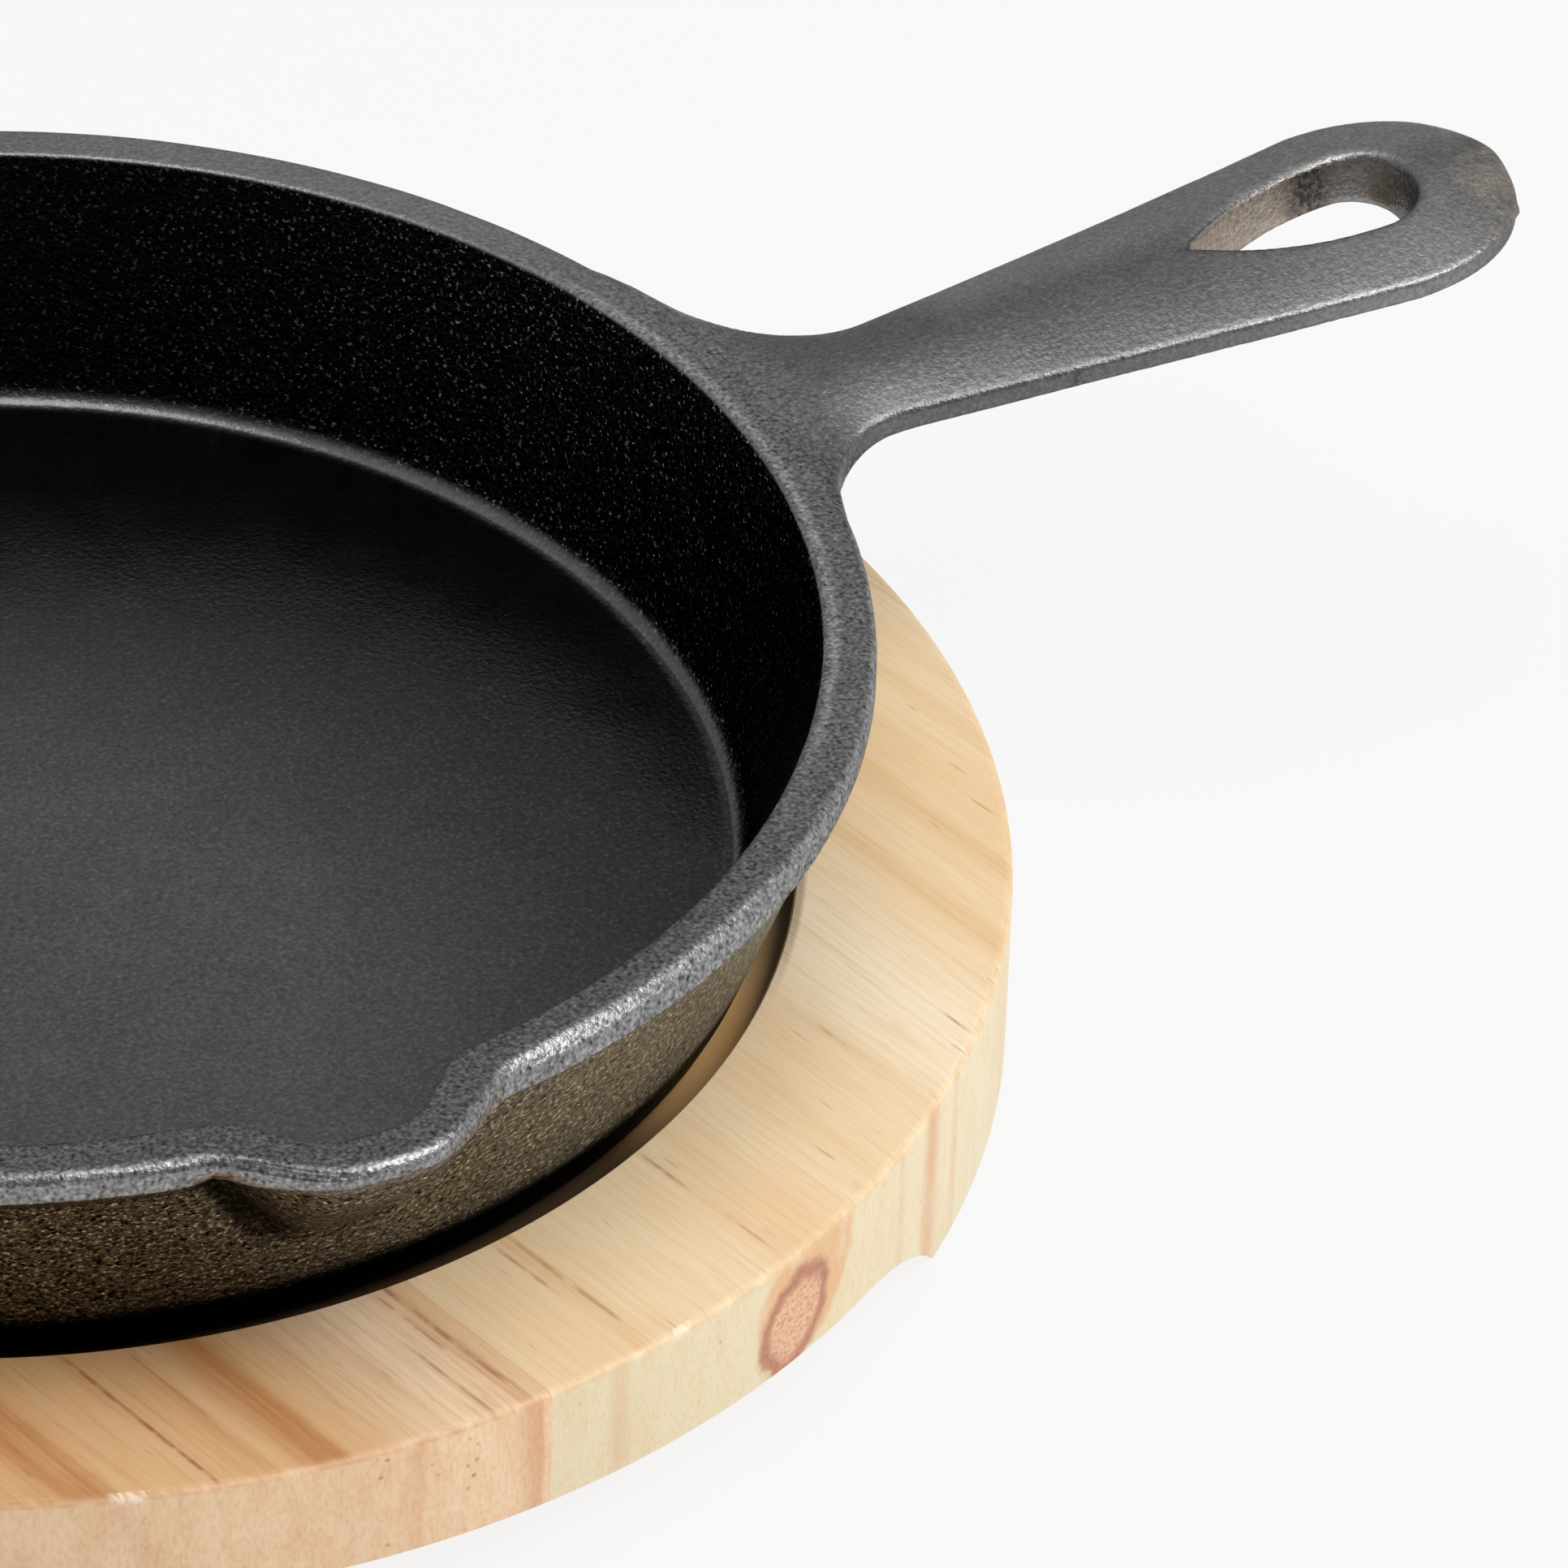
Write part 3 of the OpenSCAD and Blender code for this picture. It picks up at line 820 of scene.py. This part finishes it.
def outer_iron(g, pan):
    """How much light the bare outside, rim and handle throw back, with painted light and shade."""
    # Painted light: lighter on the side the light falls from, and on the outer band more than on
    # the flat top
    side = pan.toward(LIGHT_SIDE)
    edge = g.sum(EDGE_LIGHT, g.times(side, EDGE_LIGHT_SIDE))
    light = g.between(g.step(pan.up, *TOP_LIGHT_UP), edge, g.step(side, *TOP_LIGHT))
    # Painted highlight on the near rim where it faces the key softbox
    rim_key_highlight = g.times(g.step(pan.toward(KEY_TURN), 0.8, 1.0), g.step(pan.handle, 0.5, 0.0))
    # Painted shade: the flat rim top is darker, most on the near side
    top_face = g.times(pan.part(TOP_FACE), g.rest(pan.handle))
    inner_edge = g.times(g.band(pan.r, INNER_EDGE_R, INNER_EDGE_HALF_W), pan.part(INNER_EDGE))
    handle = g.times(pan.handle, g.step(pan.x, *HANDLE_SHADE_RUN), g.sum(
        1.0, g.times(pan.part(NEAR_HEAD), NEAR_HEAD_SHADE),
        g.times(pan.part(FAR_NECK), FAR_NECK_SHADE)))
    # Painted shade on the eye's rounded upper edge, taking down its highlight
    brim = g.times(g.band(pan.up, EYE_BRIM_UP, EYE_BRIM_HALF), pan.part(ROUND_EYE))
    level = g.sum(IRON_WORN * 0.9, g.times(pan.patch, IRON_WORN * 0.2))
    return g.change(
        g.times(level, light), (rim_key_highlight, NEAR_RIM_HIGHLIGHT),
        (top_face, g.step(pan.y, *TOP_FACE_SHADE)), (inner_edge, INNER_EDGE_SHADE),
        (handle, HANDLE_SHADE), (brim, EYE_BRIM_SHADE),
        # painted shade on the near side of the grip, taking down its highlight
        (g.times(pan.handle, pan.part(NEAR_GRIP)), NEAR_GRIP_SHADE),
        *[(getattr(pan, part), shade) for part, shade in WALL_SHADES.items()])


def inner_iron(g, pan):
    """How much light the dark inside throws back, with painted shade: its floor is paler round one
    place.
    """
    pale = g.length(g.sum(pan.x, -PALE_PLACE[0]), g.sum(pan.y, -PALE_PLACE[1]))
    level = g.times(g.step(pan.up, *IRON_WALL_UP, IRON_WALL, IRON_FLOOR),
                    g.math("MAXIMUM", g.step(pale, *PALE_RUN), g.step(pan.up, *FLOOR_UP)))
    return g.times(level, g.sum(0.85, g.times(pan.patch, 0.3)))


def iron_texture(g, pan, level):
    """The level with the casting's grit and specks, and painted glints where it is rough."""
    calm = g.math("MAXIMUM", pan.handle, pan.part(FAR_SIDE))
    skin = g.times(g.rest(g.times(pan.inside, CALM_INSIDE)),
                   g.rest(g.times(calm, CALM_FAR)))
    gritty = g.sum(skin, g.times(pan.coarse, COARSE_GRIT))
    level = g.times(level, g.sum(1.0, g.times(g.swing(pan.speck), skin, SPECK_SHADE),
                                 g.times(g.swing(pan.grit), gritty, GRIT_SHADE)))
    # Painted glints
    wall_glint = g.times(pan.outer_wall, g.sum(GLINT_WALL, g.times(pan.shaded_base, GLINT_SHADED_BASE)),
                         g.rest(pan.shaded_flank))
    inner_glint = g.times(pan.inner_wall, g.step(pan.x, *GLINT_INNER_WALL))
    glint = g.times(g.step(pan.speck, *GLINT_RUN), g.sum(GLINT_ALL, wall_glint, inner_glint))
    return g.math("MAXIMUM", g.sum(level, g.times(glint, GLINT)), 0.001)


def iron_color(g, pan, level):
    """The level as a colour: warm on the outer wall, with rust in the eye and at the tip."""
    green, blue = [
        g.times(level, g.sum(1.0, g.times(pan.outer_wall, wall), g.times(pan.coarse, coarse)))
        for wall, coarse in zip(WALL_TINT, COARSE_TINT)]
    eye_wall = pan.part(EYE_WALL_FACE)
    tip_rust = g.times(pan.part(TIP), RUST_TIP, g.step(pan.patch, *RUST_TIP_RUN))
    rust = g.math("MAXIMUM", g.times(eye_wall, RUST_WALL), tip_rust)
    sand = g.sum(RUST_LEVEL, g.times(pan.speck, RUST_GRAIN), g.times(pan.grit, RUST_GRAIN))
    rusty = g.combine(sand, g.times(sand, RUST_GREEN), g.times(sand, RUST_BLUE))
    color = g.mix(rust, g.combine(level, green, blue), rusty)
    # Painted shade in the round far end of the eye
    return g.paint(color, EYE_END_SHADE_COLOR, eye_wall, pan.part(EYE_FAR_END),
                   g.step(pan.grit, *EYE_END_RUN))


def iron_material():
    material, g, shader = new_material("bare_iron")
    pan = IronPlaces(g)
    level = g.between(pan.inside, outer_iron(g, pan), inner_iron(g, pan))
    g.put(shader.inputs["Base Color"], iron_color(g, pan, iron_texture(g, pan, level)))
    shader.inputs["Metallic"].default_value = 1.0
    shader.inputs["Specular Tint"].default_value = (0.5, 0.5, 0.5, 1)
    g.put(shader.inputs["Roughness"], g.sum(
        IRON_ROUGHNESS - PATCH_ROUGHNESS / 2, g.times(pan.patch, PATCH_ROUGHNESS),
        g.times(pan.inside, FLOOR_ROUGHNESS - IRON_ROUGHNESS)))
    bumps = [g.times(getattr(pan, part), more) for part, more in BUMPS.items()]
    g.bump(shader, pan.grit, g.sum(BUMP, *bumps), BUMP_DEPTH)
    return material


class NarrowLook:
    """The narrow plank's looks. Tones and bands are places across the grain with how far each
    fades to its left and right and its strength. A streak is its place, half width, start and end
    along the grain, and strength. A chip is a place on the edge and a half width."""
    seed = 1.3
    pith = (-84.0, 2.6)
    knot = False
    pale, orange, brown = (0.65, 0.405, 0.205), (0.605, 0.345, 0.155), (0.44, 0.18, 0.06)
    tones = ((66.0, 14.0, 14.0, 0.9, (0.80, 0.60, 0.40)),)
    bands = ((31.2, 5.5, 2.0, 0.85), (40.2, 0.5, 0.3, 0.6), (45.6, 2.5, 0.6, 0.2),
             (51.4, 5.5, 2.0, 0.85), (63.0, 3.0, 0.8, 0.15), (72.4, 2.4, 0.6, 0.4))
    streaks = ((40.2, 0.35, 78, 106, 0.8), (60.7, 0.35, 93, 99, 0.6), (63.3, 0.3, 100, 104, 0.6),
               (68.0, 0.35, 98, 116, 0.5), (70.6, 0.3, 90, 104, 0.5), (72.0, 0.4, 88, 112, 0.6),
               (54.7, 0.35, 87.5, 89.5, 0.7), (45.5, 0.25, 80, 98, 0.3))
    end_colors = ((0.95, 0.69, 0.45), (0.89, 0.58, 0.35))
    end_bands = ((-13.6, 4.2, 0.6, 0.6), (-28.0, 3.5, 1.0, 0.35))
    chips = ((-57.0, 2.2),)


class WideLook:
    """The wide plank's looks, stated as for the narrow one."""
    seed = 5.1
    pith = None
    knot = True
    pale, orange, brown = (0.775, 0.61, 0.395), (0.75, 0.55, 0.33), (0.62, 0.37, 0.155)
    tones = ((62.0, 16.0, 14.0, 0.7, (0.84, 0.73, 0.55)),
             (91.0, 18.0, 20.0, 0.4, (0.70, 0.47, 0.23)))
    bands = ((1.6, 3.0, 1.2, 0.4), (22.5, 1.6, 1.4, 0.22), (29.5, 0.8, 0.8, 0.15),
             (51.8, 1.6, 2.5, 0.2), (77.5, 2.4, 3.0, 0.36), (87.5, 3.5, 2.0, 0.45),
             (101.5, 2.5, 1.5, 0.3))
    streaks = ((22.0, 0.4, 89, 99, 0.5), (23.6, 0.3, 91, 97, 0.35), (22.3, 0.3, 103, 113, 0.45),
               (28.4, 0.25, 97, 101, 0.4), (51.9, 0.3, 84, 93, 0.45), (64.3, 0.3, 91, 97, 0.7),
               (60.0, 0.2, 100, 104, 0.3), (-0.4, 0.35, 91, 104, 0.5), (1.8, 0.45, 91, 112, 0.45))
    end_colors = ((0.84, 0.75, 0.52), (0.82, 0.68, 0.44))
    end_bands = ((-3.6, 2.2, 2.2, 0.3), (50.6, 2.4, 3.0, 0.6), (43.5, 1.2, 1.4, 0.25),
                 (57.5, 2.0, 1.0, 0.25))
    chips = ((5.5, 1.7),)


# Grain noises: fineness across and along the grain
BROAD_GRAIN, LINE_GRAIN, RAGGED_GRAIN = (0.12, 0.014), (1.5, 0.05), (0.4, 0.3)
RIDGE_GRAIN, DASH_GRAIN, WAVE_GRAIN = (2.2, 0.13), (1.9, 0.16), (0.03, 0.012, 0.03)
END_GRAIN = (0.4, 0.13)
RING_LEAN, RING_WAVE, RING_RAGGED, END_RAGGED = 0.04, 1.6, 0.8, 1.2

# How strongly each mark shows in the wood, with the steps of the noise that it comes from
BROAD_RUN, LINE_RUN, RIDGE_RUN = (0.3, 0.7), (0.42, 0.8, 0.0, 0.36), (0.35, 0.8, 0.0, 0.19)
BAND_LEAST, BAND_LINES = 0.1, 1.8
STREAK_ENDS, STREAK_CORE, STREAK_RUN, STREAK_COLOR = 3, 0.3, (0.3, 0.6), (0.25, 0.085, 0.035)
DASH_RUN, DASH_MIX, DASH_COLOR = (0.77, 0.86), 0.45, (0.30, 0.11, 0.05)
END_RUN, END_MIX, END_TINT_RUN = (0.35, 0.85), 0.8, (0.35, 0.7)
END_BAND_LEAST, END_BAND_COLOR = 0.6, (0.70, 0.36, 0.19)
PORE_ROWS, PORE_ROW_HALF_W = (-22.0, -32.0), 1.3
PORE_SPACE, PORE_SIZE, PORE_OFTEN = (0.7, 0.75), (0.26, 0.14), (0.55, 0.7, 0.0, 0.6)
PORE_MIX = 0.65
ARRIS_UP, ARRIS_FLAT = (0.05, 0.4), (0.99, 0.85)
ARRIS_RUN, ARRIS_MIX = (0.65, 0.35, 0.2, 1.0), 0.45
CHIP_Z, CHIP_UP, CHIP_RUN = (BOARD_T - 1.3, BOARD_T - 0.7), (0.995, 0.96), (0.35, 0.6)
CHIP_LEAN, CHIP_CORE, CHIP_MIX, CHIP_COLOR = -0.8, 0.5, 0.55, (0.97, 0.92, 0.82)
WOOD_ROUGHNESS, LINE_ROUGHNESS = 0.46, 0.12
WOOD_BUMP, WOOD_BUMP_DEPTH = 0.2, 0.0003

# The recess in painted shade: its brown wall, the darker stretch by the handle, and the shadow
# below
RECESS_Z, RECESS_EDGE = (BASE_Z - 2.0, BASE_Z - 1.0), (RECESS_R + 1.5, RECESS_R + 0.8)
RECESS_TOP, RECESS_BROWN, RECESS_COLOR = (BOARD_T - 0.15, BOARD_T - 1.0), 0.7, (0.60, 0.30, 0.07)
RECESS_RIGHT, RECESS_DARK, RECESS_DARK_COLOR = (64, 78), 0.55, (0.13, 0.08, 0.03)
SHADOW_Z, SHADOW_X = (BOARD_T - 1.4, BOARD_T - 3.0), (60, 40)
SHADOW_MIX, SHADOW_COLOR = 0.93, (0.02, 0.01, 0.005)

# The knot in the wide plank's front end
KNOT_PLACE = (23.1, 13.6)
KNOT_HALF_W, KNOT_HALF_H = 5.0, 6.5
KNOT_LEAN = math.radians(-30)
KNOT_WOBBLE, KNOT_FRONT = 0.5, (98, 106)
HALO_RUN, HALO_LEAN, HALO_TOP = (1.5, 1.2), -0.06, (BOARD_T, BOARD_T - 1.5, 0.35, 1.0)
HALO_PATCH, HALO_COLOR = (-0.2, 0.05, 0.45, 0.9), (0.78, 0.45, 0.23)
CORE_RUN, CORE_PATCH = (1.12, 1.0), (0.3, 0.6)
CORE_COLORS = ((0.58, 0.26, 0.15), (0.82, 0.50, 0.32))
RING_PLACE, RING_HALF_W, RING_PATCH = 0.93, 0.3, (0.25, 0.6, 0.35, 1.0)
RING_MIX, RING_COLOR = 0.85, (0.38, 0.11, 0.06)


class WoodPlaces:
    """Where a point of a plank lies in the grain, and the noises that its colours share."""

    def __init__(self, g, look):
        _, x, y, z = g.place()
        nx, ny, nz = g.normal()
        self.x, self.z, self.up = x, z, nz
        self.r = g.length(x, y)
        self.across = across = g.sum(g.times(x, -GRAIN_SIN), g.times(y, GRAIN_COS))
        self.along = along = g.sum(g.times(x, GRAIN_COS), g.times(y, GRAIN_SIN))
        self.ring = ring = self.make_rings(g, look)
        self.broad = grain_noise(g, ring, along, BROAD_GRAIN, look.seed, 2.0, 0.5)
        self.lines = grain_noise(g, ring, along, LINE_GRAIN, look.seed + 3.0, 3.0, 0.65)
        self.ragged = grain_noise(g, ring, along, RAGGED_GRAIN, look.seed, 2.0, 0.6)
        self.ridges = grain_noise(g, across, along, RIDGE_GRAIN, z, 1.0)
        self.dashes = grain_noise(g, ring, along, DASH_GRAIN, look.seed + 7.0, 0.0)
        self.soft = grain_noise(g, across, z, END_GRAIN, look.seed, 4.0, 0.7)
        end = g.math("ABSOLUTE", g.sum(g.times(nx, GRAIN_COS), g.times(ny, GRAIN_SIN)))
        self.end = g.step(end, *END_RUN)

    def make_rings(self, g, look):
        """The place across the year rings, which are round the pith or upright, and waver."""
        across, along, z = self.across, self.along, self.z
        if look.pith:
            ring = g.length(g.sum(across, -look.pith[0]), g.sum(z, -look.pith[1]))
        else:
            ring = g.sum(across, g.times(z, RING_LEAN))
        wave = grain_noise(g, across, along, WAVE_GRAIN[:2],
                           g.sum(g.times(z, WAVE_GRAIN[2]), look.seed), 1.0)
        return g.sum(ring, g.times(g.swing(wave), RING_WAVE))


def grain_noise(g, a, b, fineness, shift, detail, roughness=0.5):
    place = g.combine(g.times(a, fineness[0]), g.times(b, fineness[1]), shift)
    return g.noise(place, 1.0, detail, roughness)


def grain_color(g, wood, look):
    """The grain of the faces: tones, fine lines, bands, streaks and dashes."""
    worn = g.sum(wood.ring, g.times(g.swing(wood.ragged), RING_RAGGED))
    color = g.mix(g.step(wood.broad, *BROAD_RUN), look.pale, look.orange)
    for middle, left, right, strength, tone in look.tones:
        color = g.paint(color, tone, g.strip(worn, middle, left, right), strength)
    color = g.paint(color, look.brown, g.step(wood.lines, *LINE_RUN))
    lined = g.sum(BAND_LEAST, g.times(wood.lines, BAND_LINES))
    for middle, left, right, strength in look.bands:
        color = g.paint(color, look.brown, g.strip(worn, middle, left, right), lined, strength)
    broken = g.step(wood.ragged, *STREAK_RUN)
    for middle, half, start, end, strength in look.streaks:
        off = g.math("ABSOLUTE", g.sum(wood.ring, -middle))
        length = g.times(g.step(wood.along, start, start + STREAK_ENDS),
                         g.step(wood.along, end, end - STREAK_ENDS))
        color = g.paint(color, STREAK_COLOR, g.step(off, half, half * STREAK_CORE), length,
                        broken, strength)
    return g.paint(color, DASH_COLOR, g.step(wood.dashes, *DASH_RUN), DASH_MIX)


def end_grain(g, wood, look, color):
    """The colour with the end grain of the board's edge: its tint, bands and pores."""
    tint = g.mix(g.step(wood.soft, *END_TINT_RUN), *look.end_colors)
    color = g.paint(color, tint, wood.end, END_MIX)
    worn = g.sum(wood.across, g.times(g.swing(wood.ragged), END_RAGGED))
    cloudy = g.sum(END_BAND_LEAST, wood.soft)
    for middle, left, right, strength in look.end_bands:
        color = g.paint(color, END_BAND_COLOR, g.strip(worn, middle, left, right), wood.end,
                        cloudy, strength)
    cells = g.node("ShaderNodeTexVoronoi", {"Scale": 1.0, "Vector": g.combine(
        g.times(wood.across, PORE_SPACE[0]), g.times(wood.z, PORE_SPACE[1]), look.seed)})
    rows = [g.band(wood.across, row, PORE_ROW_HALF_W) for row in PORE_ROWS]
    often = g.math("MAXIMUM", g.math("MAXIMUM", *rows), g.step(wood.soft, *PORE_OFTEN))
    pore = g.step(cells.outputs["Distance"], *PORE_SIZE)
    return g.paint(color, DASH_COLOR, pore, wood.end, often, PORE_MIX)


def knot(g, wood, color):
    """The colour with a round knot, whose branch runs along the grain into the front end."""
    u = g.sum(wood.across, -KNOT_PLACE[0])
    v = g.sum(wood.z, -KNOT_PLACE[1])
    cos, sin = math.cos(KNOT_LEAN), math.sin(KNOT_LEAN)
    a = g.sum(g.times(u, cos), g.times(v, sin))
    b = g.sum(g.times(u, -sin), g.times(v, cos))
    wobble = g.swing(g.noise(g.combine(u, v, 2.0), 0.35, 3.0, 0.6))
    far = g.length(g.times(a, 1 / KNOT_HALF_W), g.times(b, 1 / KNOT_HALF_H))
    far = g.sum(far, g.times(wobble, KNOT_WOBBLE))
    front = g.step(wood.along, *KNOT_FRONT)
    speck = g.noise(g.combine(u, v, 5.0), 1.6, 2.0, 0.6)
    halo = g.step(g.sum(far, g.times(b, HALO_LEAN)), *HALO_RUN)
    color = g.paint(color, HALO_COLOR, halo, front, g.step(wood.z, *HALO_TOP),
                    g.step(wobble, *HALO_PATCH))
    core = g.mix(g.step(speck, *CORE_PATCH), *CORE_COLORS)
    color = g.paint(color, core, g.step(far, *CORE_RUN), front)
    return g.paint(color, RING_COLOR, g.band(far, RING_PLACE, RING_HALF_W), front,
                   g.step(speck, *RING_PATCH), RING_MIX)


def worn_edges(g, wood, look, color):
    """The colour with darker, rounded edges, pale chips in them and fine ridges all over."""
    color = g.paint(color, look.brown, g.step(wood.up, *ARRIS_UP), g.step(wood.up, *ARRIS_FLAT),
                    g.step(wood.ragged, *ARRIS_RUN), ARRIS_MIX)
    for middle, half in look.chips:
        lean = g.times(g.sum(wood.z, -BOARD_T), CHIP_LEAN)
        off = g.math("ABSOLUTE", g.sum(wood.across, -middle, lean))
        color = g.paint(color, CHIP_COLOR, g.step(off, half, half * CHIP_CORE),
                        g.step(wood.z, *CHIP_Z), g.step(wood.up, *CHIP_UP),
                        g.step(wood.ridges, *CHIP_RUN), CHIP_MIX)
    return g.paint(color, look.brown, g.step(wood.ridges, *RIDGE_RUN))


def recess_color(g, wood, color):
    """The colour with a brown recess in painted shade, and a painted shadow under the pan's left
    side.
    """
    recess = g.times(g.step(wood.z, *RECESS_Z), g.step(wood.r, *RECESS_EDGE))
    # Painted shade: brown in the recess, darker by the handle, then a painted shadow
    color = g.paint(color, RECESS_COLOR, recess, g.step(wood.z, *RECESS_TOP), RECESS_BROWN)
    color = g.paint(color, RECESS_DARK_COLOR, recess, g.step(wood.x, *RECESS_RIGHT), RECESS_DARK)
    return g.paint(color, SHADOW_COLOR, recess, g.step(wood.z, *SHADOW_Z),
                   g.step(wood.x, *SHADOW_X), SHADOW_MIX)


def wood_material(name, look):
    material, g, shader = new_material(name)
    wood = WoodPlaces(g, look)
    color = end_grain(g, wood, look, grain_color(g, wood, look))
    if look.knot:
        color = knot(g, wood, color)
    color = recess_color(g, wood, worn_edges(g, wood, look, color))
    g.put(shader.inputs["Base Color"], color)
    rough = g.sum(WOOD_ROUGHNESS, g.times(wood.lines, LINE_ROUGHNESS))
    g.put(shader.inputs["Roughness"], rough)
    g.bump(shader, wood.ridges, WOOD_BUMP, WOOD_BUMP_DEPTH)
    return material


def board_profile():
    edge = BOARD_R - BOARD_ROUND
    return np.vstack([
        line((CENTRE_R, 0), (edge, 0), BOARD_STEP),
        arc(edge, BOARD_ROUND, BOARD_ROUND, -90, 0, steps=6),
        arc(edge, BOARD_T - BOARD_ROUND, BOARD_ROUND, 0, 90, steps=6),
        [[RECESS_R + RECESS_BEVEL, BOARD_T], [RECESS_R, BOARD_T - RECESS_BEVEL]],
        line((RECESS_R, BASE_Z), (CENTRE_R, BASE_Z), BOARD_STEP)])


def prism(name, outline, low, high, place):
    """A straight body over an outline. place turns (a, b, height) into a point."""
    n = len(outline)
    points = [place(a, b, low) for a, b in outline] + [place(a, b, high) for a, b in outline]
    faces = [tuple(range(n)), tuple(range(2 * n - 1, n - 1, -1))]
    faces += [(i, i + n, (i + 1) % n + n, (i + 1) % n) for i in range(n)]
    return new_object(name, points, faces)


def along_grain(obj, turn=0.0):
    obj.data.transform(Matrix.Rotation(GRAIN_ANGLE + turn, 4, "Z"))
    return obj


def scoop_tool(turn):
    """The space under one end of the board: a cove at each side and at the inner end."""
    run = math.sqrt(SCOOP_COVE ** 2 - (SCOOP_COVE - SCOOP_H) ** 2)
    flat = SCOOP_W / 2 - run
    sweep = math.degrees(math.asin(run / SCOOP_COVE))
    low = SCOOP_H - SCOOP_COVE
    front = np.vstack([[[SCOOP_W / 2, -SCOOP_BELOW]],
                       arc(flat, low, SCOOP_COVE, 90 - sweep, 90, steps=12),
                       arc(-flat, low, SCOOP_COVE, 90, 90 + sweep, steps=12),
                       [[-SCOOP_W / 2, -SCOOP_BELOW]]])
    start, past = BOARD_R - SCOOP_REACH, BOARD_R + SCOOP_PAST
    side = np.vstack([[[past, -SCOOP_BELOW]], [[past, SCOOP_H]],
                      arc(start + SCOOP_H, 0, SCOOP_H, 90, 180, steps=12),
                      [[start, -SCOOP_BELOW]]])
    across = prism("scoop", front, start - SCOOP_INWARD, BOARD_R + SCOOP_OUTWARD,
                   lambda a, b, h: (h, a, b))
    along = prism("scoop_end", side, -SCOOP_W, SCOOP_W, lambda a, b, h: (a, -h, b))
    apply_boolean(across, along, "INTERSECT")
    return along_grain(across, turn)


def make_plank(name, node, side, material):
    profile = board_profile()
    plank = lathe(name, profile[:, 0:1], profile[:, 1:2], BOARD_STATIONS)
    size = 2 * BOARD_R
    low, high = (-size, -JOINT_OFFSET) if side < 0 else (-JOINT_OFFSET, size)
    half = prism("half", [(-size, low), (size, low), (size, high), (-size, high)],
                 -CUT_PAST, BOARD_T + CUT_PAST, lambda a, b, h: (a, b, h))
    apply_boolean(plank, along_grain(half), "INTERSECT")
    for turn in (0.0, math.pi):
        apply_boolean(plank, scoop_tool(turn), "DIFFERENCE")
    dress(plank, SHARP_WOOD, material)
    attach(plank, "root")
    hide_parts(node)
    return plank


def make_sky():
    world = bpy.data.worlds.new("studio")
    world.use_nodes = True
    g = Graph(world.node_tree)
    way_x, way_y, way_z = g.node("ShaderNodeSeparateXYZ", {
        0: g.node("ShaderNodeTexCoord").outputs["Generated"]}).outputs
    front = Vector((-CAMERA_AIM.x, -CAMERA_AIM.y)).normalized()
    ahead = g.sum(g.times(way_x, front.x), g.times(way_y, front.y))
    right = g.sum(g.times(way_x, -front.y), g.times(way_y, front.x))
    level = g.step(way_z, *SKY_CEILING_RUN, SKY_WALL, SKY_CEILING)
    level = g.sum(level, g.step(way_z, *SKY_LOW_RUN, 0.0, SKY_LOW))
    level = g.times(level, g.step(ahead, *SKY_ROOM_RUN, 1.0, SKY_ROOM))
    level = g.change(level, (right, SKY_RIGHT))
    background = world.node_tree.nodes["Background"]
    g.put(background.inputs["Color"], g.combine(level, level, level))
    bpy.context.scene.world = world


def make_softbox(name, turn, rise, far, size, power):
    """A square light that shines on the pan from an angle round it and a height above it."""
    data = bpy.data.lights.new(name, "AREA")
    data.shape = "SQUARE"
    data.size = size
    data.energy = power
    flat = math.cos(rise)
    way = Vector((math.cos(turn) * flat, math.sin(turn) * flat, math.sin(rise)))
    facing = way.to_track_quat("Z", "Y").to_matrix().to_4x4()
    light = bpy.data.objects.new(name, data)
    light.matrix_world = Matrix.Translation(way * far) @ facing
    bpy.context.scene.collection.objects.link(light)


def make_floor():
    w = FLOOR_HALF_W
    floor = new_object("floor", [(-w, -w, 0), (w, -w, 0), (w, w, 0), (-w, w, 0)], [(0, 1, 2, 3)])
    material, _, shader = new_material("white_floor")
    for name, value in FLOOR_LOOK.items():
        shader.inputs[name].default_value = value
    floor.data.materials.append(material)


bpy.context.scene.view_settings.view_transform = "Standard"
make_camera()
make_pan(iron_material())
narrow = wood_material("pine_narrow", NarrowLook)
wide = wood_material("pine_wide", WideLook)
make_plank("plank_narrow", "board_plank_narrow", -1, narrow)
make_plank("plank_wide", "board_plank_wide", 1, wide)
make_sky()
make_softbox("key_softbox", KEY_TURN, KEY_RISE, KEY_FAR, KEY_SIZE, KEY_POWER)
make_softbox("top_softbox", 0.0, TOP_RISE, TOP_FAR, TOP_SIZE, TOP_POWER)
make_floor()
